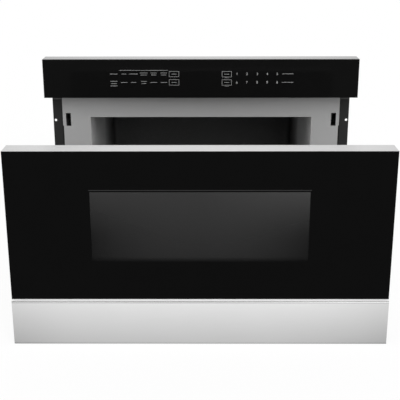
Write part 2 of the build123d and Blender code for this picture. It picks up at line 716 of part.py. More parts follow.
# =================================================================================================
# Cooling blower
# =================================================================================================
wheel_r, wheel_depth, wheel_width = 42.0, 10.0, 36.0
wheel_blades, blade_sheet = 12, 1.0
wheel_gap = 4.0                                     # wheel to scroll at the tongue
scroll_growth = 18.0                                # over the sweep of the scroll
scroll_start, scroll_sweep = 60, 300                # degrees
scroll_setback = 82.0                               # in front of the back of the case
scroll_front = case_depth - scroll_setback
scroll_depth, scroll_sheet = 46.0, 1.2
foot_left, foot_right = 34.0, 46.0
scroll_foot = (blower_x - foot_left, blower_x + foot_right)
scroll_foot_depth = 14.0
outlet_height = 62.0
wheel_front = scroll_front + (scroll_depth - wheel_width) / 2
blower_motor_r, blower_motor_length = 28.0, 24.0
blower_shaft_r, blower_shaft_gap = 3.0, 4.0
blower_shaft_reach = 12.0                           # of the wheel's shaft into the motor
wheel_plate, wheel_ring, blade_turn = 1.5, 2.0, 25.0


def scroll_point(turn, shrink):
    """A point of the scroll's wall, turn degrees after its tongue, drawn in by shrink."""
    radius = wheel_r + wheel_gap + scroll_growth * turn / scroll_sweep - shrink
    angle = math.radians(scroll_start + turn)
    return (blower_x + radius * math.cos(angle), blower_z + radius * math.sin(angle))


def scroll(shrink):
    """Fills the scroll in a sketch, drawn in by shrink, with its outlet upwards."""
    with BuildLine() as spiral:
        for turn in range(0, scroll_sweep, 60):
            ThreePointArc(*(scroll_point(turn + part, shrink) for part in (0, 30, 60)))
        Line(scroll_point(scroll_sweep, shrink), scroll_point(0, shrink))
    make_face(spiral.edges())
    outlet_x = (scroll_point(0, 0)[0] + shrink, scroll_point(scroll_sweep, shrink)[0])
    patch(outlet_x, (blower_z, blower_z + outlet_height))


# Blower housing: a sheet scroll on a folded foot, its inlet towards the grille in the back panel.
with BuildPart() as blower_housing:
    with BuildSketch(across(scroll_front)):
        patch(scroll_foot, (sheet, blower_z - wheel_r))
    extrude(amount=-scroll_sheet)
    with BuildSketch(across(scroll_front)):
        scroll(0)
    extrude(amount=-scroll_depth)
    with BuildSketch(across(scroll_front + scroll_sheet)):
        scroll(scroll_sheet)
    extrude(amount=-scroll_depth + 2 * scroll_sheet, mode=Mode.SUBTRACT)
    with BuildSketch(Plane.XY.offset(blower_z + outlet_height)):
        outlet_x = (scroll_point(0, 0)[0] + scroll_sheet, scroll_point(scroll_sweep, scroll_sheet)[0])
        patch(outlet_x, (scroll_front + scroll_sheet, scroll_front + scroll_depth - scroll_sheet))
    extrude(amount=-2 * scroll_sheet, mode=Mode.SUBTRACT)
    with BuildSketch(across(scroll_front + scroll_depth)):
        with Locations((blower_x, blower_z)):
            Circle(wheel_r - wheel_depth)
    extrude(amount=scroll_sheet, mode=Mode.SUBTRACT)
    with BuildSketch(across(scroll_front)):
        with Locations((blower_x, blower_z)):
            Circle(blower_shaft_r + blower_shaft_gap)
    extrude(amount=-scroll_sheet, mode=Mode.SUBTRACT)
    with BuildSketch(Plane.XY.offset(sheet)):
        patch(scroll_foot, (scroll_front, scroll_front + scroll_foot_depth))
    extrude(amount=scroll_sheet)
blower_housing.part.label = "blower_housing"
export_step(blower_housing.part, "parts/blower_housing.step")

# Blower wheel: a drum of blades between a back plate on the hub and an open ring.
with BuildPart() as blower_wheel:
    with BuildSketch(across(wheel_front)):
        with Locations((blower_x, blower_z)):
            Circle(wheel_r)
    extrude(amount=-wheel_plate)
    with BuildSketch(across(wheel_front + wheel_width - wheel_ring)):
        with Locations((blower_x, blower_z)):
            Circle(wheel_r)
            Circle(wheel_r - wheel_depth, mode=Mode.SUBTRACT)
    extrude(amount=-wheel_ring)
    with BuildSketch(across(wheel_front)):
        with Locations((blower_x, blower_z)):
            with PolarLocations(wheel_r - wheel_depth / 2, wheel_blades):
                Rectangle(wheel_depth - blade_sheet, blade_sheet, rotation=blade_turn)
    extrude(amount=-wheel_width + wheel_ring / 2)
    with BuildSketch(across(wheel_front)):
        with Locations((blower_x, blower_z)):
            Circle(blower_shaft_r)
    extrude(amount=wheel_front - scroll_front + blower_shaft_reach)
blower_wheel.part.label = "blower_wheel"
export_step(blower_wheel.part, "parts/blower_wheel.step")

with BuildPart() as blower_motor:
    with BuildSketch(across(scroll_front)):
        with Locations((blower_x, blower_z)):
            Circle(blower_motor_r)
    extrude(amount=blower_motor_length)
    with BuildSketch(across(scroll_front)):
        with Locations((blower_x, blower_z)):
            Circle(blower_shaft_r + shaft_clearance)
    extrude(amount=blower_shaft_reach + fit_gap, mode=Mode.SUBTRACT)
blower_motor.part.label = "blower_motor"
export_step(blower_motor.part, "parts/blower_motor.step")

# =================================================================================================
# Door switches behind the latch slots
# =================================================================================================
switch_width, switch_height, switch_length = 12.0, 30.0, 30.0
plunger_width, plunger_height, plunger_reach = 4.0, 8.0, 9.0
plunger_stroke = 3.0
plunger_side_gap, plunger_nose_r = 0.3, 2.0
switch_fold = 14.0                                  # of the switch bracket up the sealing plate
hook_tip_closed = door_back + drawer_travel + hook_length
plunger_tip = hook_tip_closed + fit_gap
switch_front = plunger_tip + plunger_reach
hook_low = latch_slot_z - latch_slot_height / 2 + hook_lift
hook_z = (hook_low, hook_low + hook_height)
plunger_z = (hook_z[0] + hook_z[1]) / 2

with BuildPart() as right_door_switch:
    with BuildSketch(across(switch_front)):
        with Locations((latch_slot_x, plunger_z)):
            Rectangle(switch_width, switch_height)
    extrude(amount=-switch_length)
    with BuildSketch(across(switch_front)):
        with Locations((latch_slot_x, plunger_z)):
            Rectangle(plunger_width + 2 * plunger_side_gap, plunger_height + 2 * plunger_side_gap)
    extrude(amount=-plunger_reach - plunger_stroke - fit_gap, mode=Mode.SUBTRACT)
    with BuildSketch(Plane.XY.offset(plunger_z + switch_height / 2)):
        patch(
            (latch_slot_x - switch_width / 2, latch_slot_x + switch_width / 2),
            (plate_back, switch_front + switch_length),
        )
    extrude(amount=bracket_sheet)
    with BuildSketch(across(plate_back)):
        with Locations((latch_slot_x, plunger_z + (switch_height + switch_fold) / 2)):
            Rectangle(switch_width, switch_fold)
    extrude(amount=-bracket_sheet)
right_door_switch.part.label = "right_door_switch"
export_step(right_door_switch.part, "parts/right_door_switch.step")

with BuildPart() as right_switch_plunger:
    with BuildSketch(across(plunger_tip)):
        with Locations((latch_slot_x, plunger_z)):
            Rectangle(plunger_width, plunger_height)
    extrude(amount=-2 * plunger_reach)
    fillet(right_switch_plunger.faces().sort_by(Axis.Y)[0].edges().filter_by(Axis.X), radius=plunger_nose_r)
right_switch_plunger.part.label = "right_switch_plunger"
export_step(right_switch_plunger.part, "parts/right_switch_plunger.step")

with BuildPart() as left_door_switch:
    mirror(right_door_switch.part, about=Plane.YZ)
left_door_switch.part.label = "left_door_switch"
export_step(left_door_switch.part, "parts/left_door_switch.step")

with BuildPart() as left_switch_plunger:
    mirror(right_switch_plunger.part, about=Plane.YZ)
left_switch_plunger.part.label = "left_switch_plunger"
export_step(left_switch_plunger.part, "parts/left_switch_plunger.step")

# =================================================================================================
# Slides: cabinet, middle and drawer members rolled from sheet, nested, with a ball cage between each
# =================================================================================================
outer_ball_r = (outer_half - slide_steel - middle_half) / 2 - race_gap
inner_ball_r = (middle_half - slide_steel - inner_half) / 2 - race_gap
outer_race = (outer_half - slide_steel + middle_half) / 2
inner_race = (middle_half - slide_steel + inner_half) / 2
web_gap, lip_gap = 1.0, 1.2                         # across each cage, from member to member
lip_setback = 2.7                                   # middle member's lips behind the drawer member
ball_offset = 0.2                                   # ball rows off the middle of the slide
middle_web = slide_x - slide_steel - web_gap        # outer face of the middle member's web
middle_lip = slide_inner_x + lip_setback
inner_lip = middle_web - slide_steel - lip_gap
ball_x = slide_x - slide_thickness / 2 - ball_offset
lip_hook = 3.0
ball_facet = 0.58                                   # share of a ball's radius cut off each edge
overlap_middle = (middle_slide_front + slide_length + slide_front) / 2
overlap_inner = (middle_slide_front + inner_slide_front + slide_length) / 2


def channel(web, lip, half, hooked):
    """Section of a slide member: a web with two rolled lips, hooked in where they hold balls."""
    turn = Side.RIGHT if web > lip else Side.LEFT
    low, high = slide_z - half, slide_z + half
    with BuildLine() as section:
        FilletPolyline((lip, high), (web, high), (web, low), (lip, low), radius=bend_r)
        if hooked:
            Line((lip, high - lip_hook), (lip, high))
            Line((lip, low), (lip, low + lip_hook))
        offset(amount=slide_steel, side=turn, kind=Kind.INTERSECTION)
    return section.edges()


def ball_cage(web, lip, race, ball_r, middle_y):
    """A thin channel with its lips along the ball rows, and the balls, each a faceted cube."""
    with BuildPart() as ball:
        Box(2 * ball_r, 2 * ball_r, 2 * ball_r)
        chamfer(ball.edges(), length=ball_facet * ball_r)
    with BuildPart() as cage:
        with BuildSketch(across(middle_y - cage_length / 2)):
            patch((web - cage_steel, web), (slide_z - race, slide_z + race))
            for side in (-1, 1):
                with Locations(((web + lip) / 2, slide_z + side * race)):
                    Rectangle(web - lip, cage_steel)
        extrude(amount=-cage_length)
        for side in (-1, 1):
            with Locations((ball_x, middle_y, slide_z + side * race)):
                with GridLocations(1, cage_length / balls_per_row, 1, balls_per_row):
                    add(ball.part)
    return cage.part


with BuildPart() as right_slide_outer:
    with BuildSketch(across(slide_front)):
        make_face(channel(slide_x, slide_inner_x + slide_steel, outer_half, hooked=True))
    extrude(amount=-slide_length)
right_slide_outer.part.label = "right_slide_outer"
export_step(right_slide_outer.part, "parts/right_slide_outer.step")

with BuildPart() as right_slide_middle:
    with BuildSketch(across(middle_slide_front)):
        make_face(channel(middle_web, middle_lip, middle_half, hooked=True))
    extrude(amount=-slide_length)
right_slide_middle.part.label = "right_slide_middle"
export_step(right_slide_middle.part, "parts/right_slide_middle.step")

with BuildPart() as right_slide_inner:
    with BuildSketch(across(inner_slide_front)):
        make_face(channel(slide_inner_x, inner_lip, inner_half, hooked=False))
    extrude(amount=-slide_length)
right_slide_inner.part.label = "right_slide_inner"
export_step(right_slide_inner.part, "parts/right_slide_inner.step")

with BuildPart() as right_cage_outer:
    cage_web = middle_web + (web_gap + cage_steel) / 2
    cage_lip = middle_lip + running_gap
    add(ball_cage(cage_web, cage_lip, outer_race, outer_ball_r, overlap_middle))
right_cage_outer.part.label = "right_cage_outer"
export_step(right_cage_outer.part, "parts/right_cage_outer.step")

with BuildPart() as right_cage_inner:
    cage_web = inner_lip + (lip_gap + cage_steel) / 2
    cage_lip = middle_lip + slide_steel + running_gap
    add(ball_cage(cage_web, cage_lip, inner_race, inner_ball_r, overlap_inner))
right_cage_inner.part.label = "right_cage_inner"
export_step(right_cage_inner.part, "parts/right_cage_inner.step")

with BuildPart() as left_slide_outer:
    mirror(right_slide_outer.part, about=Plane.YZ)
left_slide_outer.part.label = "left_slide_outer"
export_step(left_slide_outer.part, "parts/left_slide_outer.step")

with BuildPart() as left_slide_middle:
    mirror(right_slide_middle.part, about=Plane.YZ)
left_slide_middle.part.label = "left_slide_middle"
export_step(left_slide_middle.part, "parts/left_slide_middle.step")

with BuildPart() as left_slide_inner:
    mirror(right_slide_inner.part, about=Plane.YZ)
left_slide_inner.part.label = "left_slide_inner"
export_step(left_slide_inner.part, "parts/left_slide_inner.step")

with BuildPart() as left_cage_outer:
    mirror(right_cage_outer.part, about=Plane.YZ)
left_cage_outer.part.label = "left_cage_outer"
export_step(left_cage_outer.part, "parts/left_cage_outer.step")

with BuildPart() as left_cage_inner:
    mirror(right_cage_inner.part, about=Plane.YZ)
left_cage_inner.part.label = "left_cage_inner"
export_step(left_cage_inner.part, "parts/left_cage_inner.step")

# =================================================================================================
# Rack-and-pinion drive
# =================================================================================================
base_r = pitch_r * math.cos(pressure_angle)
tip_r = pitch_r + gear_module
root_r = pitch_r - 1.25 * gear_module
bracket_inner = rack_width / 2 + rack_slot_margin
crossbar_gap = 2.5                                  # bracket to what passes over it
bracket_top = rack_top - crossbar_gap
gearbox_width, gearbox_length, gearbox_height = 22.0, 52.0, 42.0
motor_r, motor_length, motor_offset = 16.0, 58.0, 6.0
pinion_reach = 9.0                                  # of the shaft into the gearbox


def involute(radius):
    """Angle by which an involute from the base circle has turned at this radius."""
    pressure = math.acos(base_r / radius)
    return math.tan(pressure) - pressure


def flank_point(radius, side):
    """A point on one flank of the tooth that points straight up."""
    half_thickness = (math.pi * gear_module / 2 - backlash / 2) / 2 / pitch_r
    angle = math.pi / 2 - side * (half_thickness + involute(pitch_r) - involute(max(radius, base_r)))
    return (radius * math.cos(angle), radius * math.sin(angle))


# Pinion: involute teeth, one of them in the rack's gap straight above the shaft.
with BuildPart() as drive_pinion:
    with BuildSketch(Plane.YZ.offset(-pinion_width / 2)):
        with Locations((pinion_y, pinion_z)):
            Circle(root_r)
    extrude(amount=pinion_width)
    with BuildSketch(Plane.YZ.offset(-pinion_width / 2)):
        flank = (base_r, pitch_r, tip_r)
        with BuildLine():
            right = Polyline(*(flank_point(radius, 1) for radius in flank))
            left = Polyline(*(flank_point(radius, -1) for radius in flank))
            Line(right @ 1, left @ 1)
            Polyline(right @ 0, flank_point(root_r, 1), flank_point(root_r, -1), left @ 0)
        tooth_face = make_face(mode=Mode.PRIVATE)
        with Locations((pinion_y, pinion_z)):
            with PolarLocations(0, pinion_teeth):
                add(tooth_face)
    extrude(amount=pinion_width)
    with BuildSketch(Plane.YZ.offset(pinion_width / 2)):
        with Locations((pinion_y, pinion_z)):
            Circle(pinion_shaft_r)
    extrude(amount=bracket_inner + bracket_sheet + pinion_reach - pinion_width / 2)
drive_pinion.part.label = "drive_pinion"
export_step(drive_pinion.part, "parts/drive_pinion.step")

# Motor bracket: an angle on the pan whose upright carries the pinion shaft and the gearbox.
motor_bracket_length, motor_bracket_foot, bracket_corner = 44.0, 16.0, 10.0
with BuildPart() as motor_bracket:
    with BuildSketch(across(pinion_y - motor_bracket_length / 2)):
        with BuildLine():
            Polyline(
                (bracket_inner - motor_bracket_foot, sheet),
                (bracket_inner + bracket_sheet, sheet),
                (bracket_inner + bracket_sheet, bracket_top),
            )
            offset(amount=bracket_sheet, side=Side.LEFT)
        make_face()
    extrude(amount=-motor_bracket_length)
    with BuildSketch(Plane.YZ.offset(bracket_inner)):
        with Locations((pinion_y, pinion_z)):
            Circle(pinion_shaft_r + shaft_clearance)
    extrude(amount=bracket_sheet, mode=Mode.SUBTRACT)
    chamfer(motor_bracket.edges().filter_by(Axis.X).group_by(Axis.Z)[-1], length=bracket_corner)
motor_bracket.part.label = "motor_bracket"
export_step(motor_bracket.part, "parts/motor_bracket.step")

# Gear motor: a screwed-on gearbox with the shaft's bore, and the round motor out of its side.
with BuildPart() as drive_motor:
    gearbox_x = bracket_inner + bracket_sheet
    with BuildSketch(Plane.YZ.offset(gearbox_x)):
        with Locations((pinion_y, sheet + gearbox_height / 2)):
            Rectangle(gearbox_length, gearbox_height)
    extrude(amount=gearbox_width)
    with BuildSketch(Plane.YZ.offset(gearbox_x)):
        with Locations((pinion_y, pinion_z)):
            Circle(pinion_shaft_r + shaft_clearance)
    extrude(amount=pinion_reach + fit_gap, mode=Mode.SUBTRACT)
    with BuildSketch(Plane.YZ.offset(gearbox_x + gearbox_width)):
        with Locations((pinion_y + motor_offset, sheet + gearbox_height / 2)):
            Circle(motor_r)
    extrude(amount=motor_length)
drive_motor.part.label = "drive_motor"
export_step(drive_motor.part, "parts/drive_motor.step")

# Rack: straight-sided teeth below a solid back, from the drawer front to the rear crossbar.
crossbar_setback, crossbar_width = 24.0, 16.0       # behind the pinion's shaft
crossbar_y = (pinion_y + crossbar_setback, pinion_y + crossbar_setback + crossbar_width)
teeth_behind = 3                                    # gaps behind the pinion when open
teeth_total = round(drawer_travel / tooth_pitch) + 2 * teeth_behind
with BuildPart() as drawer_rack:
    rack_root_z = pitch_line_z + 1.25 * gear_module
    slope = math.tan(pressure_angle)
    half_space = (math.pi * gear_module / 2 + backlash / 2) / 2
    half_root = half_space - 1.25 * gear_module * slope
    half_mouth = half_space + rack_addendum * slope
    with BuildSketch(Plane.YZ.offset(-rack_width / 2)):
        patch((stiffener_web, crossbar_y[1]), (pitch_line_z - rack_addendum, rack_top))
        for n in range(teeth_total):
            with BuildLine(mode=Mode.PRIVATE) as gap:
                y = pinion_y + (teeth_behind - n) * tooth_pitch
                Polyline(
                    (y - half_mouth, pitch_line_z - rack_addendum),
                    (y - half_root, rack_root_z),
                    (y + half_root, rack_root_z),
                    (y + half_mouth, pitch_line_z - rack_addendum),
                    close=True,
                )
            make_face(gap.edges(), mode=Mode.SUBTRACT)
    extrude(amount=rack_width)
drawer_rack.part.label = "drawer_rack"
export_step(drawer_rack.part, "parts/drawer_rack.step")

# Crossbar: ties the rack's rear end to both slides, passing over all that stands on the pan.
tab_margin = 2.0                                    # tab inside the drawer member's height
bar_inset, bar_fold = 20.0, 10.5                    # stiffening fold across the bar
with BuildPart() as rear_crossbar:
    tab_bottom = slide_z - inner_half + tab_margin
    with BuildSketch(across(crossbar_y[0])):
        with BuildLine():
            Polyline(
                (-slide_inner_x, tab_bottom),
                (-slide_inner_x, rack_top + bracket_sheet),
                (slide_inner_x, rack_top + bracket_sheet),
                (slide_inner_x, tab_bottom),
            )
            offset(amount=bracket_sheet, side=Side.RIGHT)
        make_face()
    extrude(amount=crossbar_y[0] - crossbar_y[1])
    with BuildSketch(across(crossbar_y[1])):
        bar_half = slide_inner_x - bar_inset
        fold_bottom = rack_top + bracket_sheet
        patch((-bar_half, bar_half), (fold_bottom, fold_bottom + bar_fold))
    extrude(amount=bracket_sheet)
rear_crossbar.part.label = "rear_crossbar"
export_step(rear_crossbar.part, "parts/rear_crossbar.step")

# =================================================================================================
# Drawer front
# =================================================================================================
frame_side = 0.4                                    # glass and strip stand out beyond the frame
frame_half = front_half - frame_side
frame_top = door_top - cap_thickness
shelf_front = strip_front + strip_sheet
shelf_top = strip_top - strip_sheet
step_back, step_height = 1.0, 8.0                   # of the frame behind the bevel and the groove
step_front = door_front + step_back
step_low = strip_top - step_height
rib_inset, rib_sheet = 18.6, 2.0
rib_x = frame_half - rib_inset

# Frame: a moulded tray open to the back, stepped forward under the glass, with the window opening.
with BuildPart() as door_frame:
    with BuildSketch(Plane.YZ.offset(-frame_half)):
        with BuildLine():
            Polyline(
                (door_back, door_bottom + strip_sheet),
                (shelf_front, door_bottom + strip_sheet),
                (shelf_front, step_low),
                (step_front, step_low),
                (step_front, shelf_top),
                (door_glass_back, shelf_top),
                (door_glass_back, frame_top),
                (door_back, frame_top),
                close=True,
            )
        make_face()
    extrude(amount=2 * frame_half)
    with BuildSketch(Plane.YZ.offset(-frame_half + moulding_wall)):
        with BuildLine():
            Polyline(
                (door_back, door_bottom + strip_sheet + moulding_wall),
                (shelf_front + moulding_wall, door_bottom + strip_sheet + moulding_wall),
                (shelf_front + moulding_wall, step_low - moulding_wall),
                (step_front + moulding_wall, step_low - moulding_wall),
                (step_front + moulding_wall, shelf_top - moulding_wall),
                (door_glass_back + moulding_wall, shelf_top - moulding_wall),
                (door_glass_back + moulding_wall, frame_top - moulding_wall),
                (door_back, frame_top - moulding_wall),
                close=True,
            )
        make_face()
    extrude(amount=2 * (frame_half - moulding_wall), mode=Mode.SUBTRACT)
    with BuildSketch(across(door_glass_back)):
        with Locations((0, window_middle_z)):
            Rectangle(window_width + 2 * window_rim, window_height + 2 * window_rim)
    extrude(amount=-moulding_wall, mode=Mode.SUBTRACT)
    with BuildSketch(across(door_glass_back + moulding_wall)):
        for side in (-1, 1):
            patch(span(side, rib_x, rib_x + rib_sheet), (shelf_top, frame_top - moulding_wall))
    extrude(amount=door_glass_back + moulding_wall - window_back)
door_frame.part.label = "door_frame"
export_step(door_frame.part, "parts/door_frame.step")

# Glass: the flat front of the drawer above the stainless strip.
with BuildPart() as door_glass:
    with BuildSketch(across(door_glass_back)):
        patch((-front_half, front_half), (strip_top, frame_top))
    extrude(amount=glass_thickness)
    chamfer(door_glass.faces().sort_by(Axis.Y)[0].edges().filter_by(Axis.Z), length=glass_chamfer)
door_glass.part.label = "door_glass"
export_step(door_glass.part, "parts/door_glass.step")

# Stainless strip: folded under the frame, up its front, and over a bevel on to the glass, with a
# shallow groove rolled in below the bevel and folded ends.
bevel_foot = strip_top - strip_bevel
groove_height = 3.0
with BuildPart() as door_trim_strip:
    with BuildSketch(Plane.YZ.offset(-front_half)):
        with BuildLine():
            Polyline(
                (door_back, door_bottom),
                (strip_front, door_bottom),
                (strip_front, bevel_foot - groove_height),
                (strip_front + strip_groove, bevel_foot - groove_height / 2),
                (strip_front, bevel_foot),
                (door_front, strip_top),
                (door_glass_back, strip_top),
            )
            offset(amount=strip_sheet, side=Side.RIGHT)
        make_face()
    extrude(amount=front_width)
    for side in (-1, 1):
        with BuildSketch(Plane.YZ.offset(side * front_half)):
            with BuildLine():
                Polyline(
                    (door_glass_back, door_bottom + strip_sheet / 2),
                    (strip_front + strip_sheet / 2, door_bottom + strip_sheet / 2),
                    (strip_front + strip_sheet / 2, bevel_foot - groove_height),
                    (door_front + strip_sheet, strip_top - strip_sheet / 2),
                    (door_glass_back, strip_top - strip_sheet / 2),
                    close=True,
                )
            make_face()
        extrude(amount=-side * (frame_side - shaft_clearance))
door_trim_strip.part.label = "door_trim_strip"
export_step(door_trim_strip.part, "parts/door_trim_strip.step")

# Cap: the pale metal strip over the top of the glass and the frame.
with BuildPart() as door_top_cap:
    with BuildSketch(Plane.XY.offset(frame_top)):
        patch((-front_half, front_half), (door_front, door_back))
    extrude(amount=cap_thickness)
    chamfer(door_top_cap.edges().group_by(Axis.Z)[-1].filter_by(Axis.X), length=cap_chamfer)
door_top_cap.part.label = "door_top_cap"
export_step(door_top_cap.part, "parts/door_top_cap.step")

# Choke panel: the steel back of the drawer front. Round the cavity mouth it is pressed into a
# quarter-wave channel, half closed again by a lip that is slotted into fingers.
panel_half_x = frame_half - moulding_wall - running_gap
panel_low = door_bottom + strip_sheet + moulding_wall + running_gap
panel_high = frame_top - moulding_wall - running_gap
channel_x = choke_half_x + choke_width
channel_z = choke_half_z + choke_width
lip_depth = choke_cover_thickness + running_gap
fingers_wide = int(2 * channel_x / finger_pitch) - 1
fingers_high = int(2 * channel_z / finger_pitch) - 1
bracket_slot_x = (slide_inner_x - bracket_sheet - slot_margin / 2, slide_inner_x + slot_margin / 2)
with BuildPart() as choke_panel:
    with BuildSketch(across(door_back)):
        patch((-panel_half_x, panel_half_x), (panel_low, panel_high))
        with Locations((0, cavity_middle_z)):
            Rectangle(2 * channel_x, 2 * channel_z, mode=Mode.SUBTRACT)
            Rectangle(2 * choke_half_x, 2 * choke_half_z)
        with Locations((0, window_middle_z)):
            Rectangle(window_width, window_height, mode=Mode.SUBTRACT)
        patch((-rack_slot_x, rack_slot_x), rack_slot_z, Mode.SUBTRACT)
        for side in (-1, 1):
            patch(span(side, *bracket_slot_x), slide_slot_z, Mode.SUBTRACT)
        with Locations(*((side * latch_slot_x, sum(hook_z) / 2) for side in (-1, 1))):
            Rectangle(hook_thickness + 2 * fit_gap, hook_height + 2 * fit_gap, mode=Mode.SUBTRACT)
    extrude(amount=sheet)
    with BuildSketch(across(door_back)):
        with Locations((0, cavity_middle_z)):
            Rectangle(2 * (channel_x + sheet), 2 * (channel_z + sheet))
            Rectangle(2 * (choke_half_x - sheet), 2 * (choke_half_z - sheet), mode=Mode.SUBTRACT)
    extrude(amount=choke_depth)
    with BuildSketch(across(door_back)):
        with Locations((0, cavity_middle_z)):
            Rectangle(2 * channel_x, 2 * channel_z)
            Rectangle(2 * choke_half_x, 2 * choke_half_z, mode=Mode.SUBTRACT)
    extrude(amount=choke_depth - sheet, mode=Mode.SUBTRACT)
    with BuildSketch(across(door_back - lip_depth)):
        with Locations((0, cavity_middle_z)):
            Rectangle(2 * channel_x, 2 * channel_z)
            lip = choke_width - choke_mouth
            Rectangle(2 * (channel_x - lip), 2 * (channel_z - lip), mode=Mode.SUBTRACT)
            with GridLocations(finger_pitch, 2 * channel_z - lip, fingers_wide, 2):
                Rectangle(finger_slot, lip, mode=Mode.SUBTRACT)
            with GridLocations(2 * channel_x - lip, finger_pitch, 2, fingers_high):
                Rectangle(lip, finger_slot, mode=Mode.SUBTRACT)
    extrude(amount=sheet)
choke_panel.part.label = "choke_panel"
export_step(choke_panel.part, "parts/choke_panel.step")

# Choke cover: the moulded ring that keeps crumbs out of the channel.
with BuildPart() as choke_cover:
    with BuildSketch(across(door_back)):
        with Locations((0, cavity_middle_z)):
            Rectangle(2 * (channel_x - running_gap), 2 * (channel_z - running_gap))
            inner_x, inner_z = choke_half_x + running_gap, choke_half_z + running_gap
            Rectangle(2 * inner_x, 2 * inner_z, mode=Mode.SUBTRACT)
    extrude(amount=choke_cover_thickness)
choke_cover.part.label = "choke_cover"
export_step(choke_cover.part, "parts/choke_cover.step")

# Window screen: the perforated sheet behind the glass, on the front of the choke panel's middle.
screen_margin = 12.0
with BuildPart() as window_screen:
    with BuildSketch(across(window_back)):
        with Locations((0, window_middle_z)):
            Rectangle(window_width + 2 * screen_margin, window_height + 2 * screen_margin)
    extrude(amount=sheet)
window_screen.part.label = "window_screen"
export_step(window_screen.part, "parts/window_screen.step")

# Stiffener: the channel inside the drawer front that the slides and the rack are bolted to.
stiffener_bend = 2.25
with BuildPart() as door_stiffener:
    with BuildSketch(Plane.YZ.offset(-stiffener_width / 2)):
        low, high = stiffener_z - stiffener_height / 2, stiffener_z + stiffener_height / 2
        with BuildLine():
            FilletPolyline(
                (window_back, high),
                (stiffener_web - bracket_sheet, high),
                (stiffener_web - bracket_sheet, low),
                (window_back, low),
                radius=stiffener_bend,
            )
            offset(amount=bracket_sheet, side=Side.LEFT)
        make_face()
    extrude(amount=stiffener_width)
door_stiffener.part.label = "door_stiffener"
export_step(door_stiffener.part, "parts/door_stiffener.step")

# Door brackets: angle plates from the stiffener through the choke panel on to the drawer members.
bracket_reach = 60.0                                # along the drawer member
bracket_foot = 18.0                                 # along the stiffener
with BuildPart() as right_door_bracket:
    bracket_z = (slide_z - inner_half + tab_margin, slide_z + inner_half - tab_margin)
    with BuildSketch(Plane.XY.offset(bracket_z[0])):
        with BuildLine():
            Polyline(
                (slide_inner_x - bracket_foot, stiffener_web),
                (slide_inner_x, stiffener_web),
                (slide_inner_x, inner_slide_front + bracket_reach),
            )
            offset(amount=bracket_sheet, side=Side.LEFT)
        make_face()
    extrude(amount=bracket_z[1] - bracket_z[0])
right_door_bracket.part.label = "right_door_bracket"
export_step(right_door_bracket.part, "parts/right_door_bracket.step")

with BuildPart() as left_door_bracket:
    mirror(right_door_bracket.part, about=Plane.YZ)
left_door_bracket.part.label = "left_door_bracket"
export_step(left_door_bracket.part, "parts/left_door_bracket.step")

# Interlock hooks: moulded noses that enter the latch slots, on feet inside the choke panel.
hook_root = 2.0                                     # inside the foot
barb_back, barb_rise, barb_run = 12.0, 5.0, 4.0     # the catch under the nose
nose_bevel, nose_run = 4.0, 3.0
foot_margin_x, foot_margin_z, foot_sheet = 4.0, 8.0, 3.0
with BuildPart() as right_interlock_hook:
    hook_tip = door_back + hook_length
    with BuildSketch(Plane.YZ.offset(latch_slot_x - hook_thickness / 2)):
        with BuildLine():
            Polyline(
                (window_back - hook_root, hook_z[0]),
                (hook_tip - barb_back, hook_z[0]),
                (hook_tip - barb_back, hook_z[0] + barb_rise),
                (hook_tip - barb_back + barb_run, hook_z[0]),
                (hook_tip - nose_run, hook_z[0]),
                (hook_tip, hook_z[0] + nose_bevel),
                (hook_tip, hook_z[1] - nose_bevel),
                (hook_tip - nose_bevel, hook_z[1]),
                (window_back - hook_root, hook_z[1]),
                close=True,
            )
        make_face()
    extrude(amount=hook_thickness)
    with BuildSketch(across(window_back)):
        with Locations((latch_slot_x, sum(hook_z) / 2)):
            Rectangle(hook_thickness + 2 * foot_margin_x, hook_height + 2 * foot_margin_z)
    extrude(amount=foot_sheet)
right_interlock_hook.part.label = "right_interlock_hook"
export_step(right_interlock_hook.part, "parts/right_interlock_hook.step")

with BuildPart() as left_interlock_hook:
    mirror(right_interlock_hook.part, about=Plane.YZ)
left_interlock_hook.part.label = "left_interlock_hook"
export_step(left_interlock_hook.part, "parts/left_interlock_hook.step")

# =================================================================================================
# Drawer tub
# =================================================================================================

# Tub: rounded rear corners, a low front wall, and a ledge round its floor for the tray.
with BuildPart() as drawer_tub:
    for wall, mode in ((0, Mode.ADD), (tub_wall, Mode.SUBTRACT)):
        with BuildSketch(Plane.XY.offset(tub_bottom + wall)) as plan:
            patch((-tub_half + wall, tub_half - wall), (door_back + wall, tub_back - wall))
            fillet(plan.vertices().group_by(Axis.Y)[-1], radius=tub_corner - wall)
        extrude(amount=tub_height - wall, mode=mode)
    with BuildSketch(across(door_back)):
        inside = tub_half - tub_wall
        patch((-inside, inside), (tub_bottom + tub_front_height, tub_bottom + tub_height))
    extrude(amount=-tub_wall, mode=Mode.SUBTRACT)
    with BuildSketch(Plane.XY.offset(tub_bottom)):
        inset = tub_wall + tub_ledge
        with Locations((0, (door_back + tub_back) / 2)):
            RectangleRounded(2 * (tub_half - inset), tub_back - door_back - 2 * inset, tub_ledge_r)
    extrude(amount=tub_wall, mode=Mode.SUBTRACT)
drawer_tub.part.label = "drawer_tub"
export_step(drawer_tub.part, "parts/drawer_tub.step")

# Tray: the flat ceramic floor that lies on the ledge.
with BuildPart() as ceramic_tray:
    with BuildSketch(Plane.XY.offset(tub_bottom + tub_wall)) as plan:
        reach = tub_wall + fit_gap
        patch((-tub_half + reach, tub_half - reach), (door_back + reach, tub_back - reach))
        fillet(plan.vertices().group_by(Axis.Y)[-1], radius=tub_corner - tub_wall)
    extrude(amount=tray_thickness)
ceramic_tray.part.label = "ceramic_tray"
export_step(ceramic_tray.part, "parts/ceramic_tray.step")

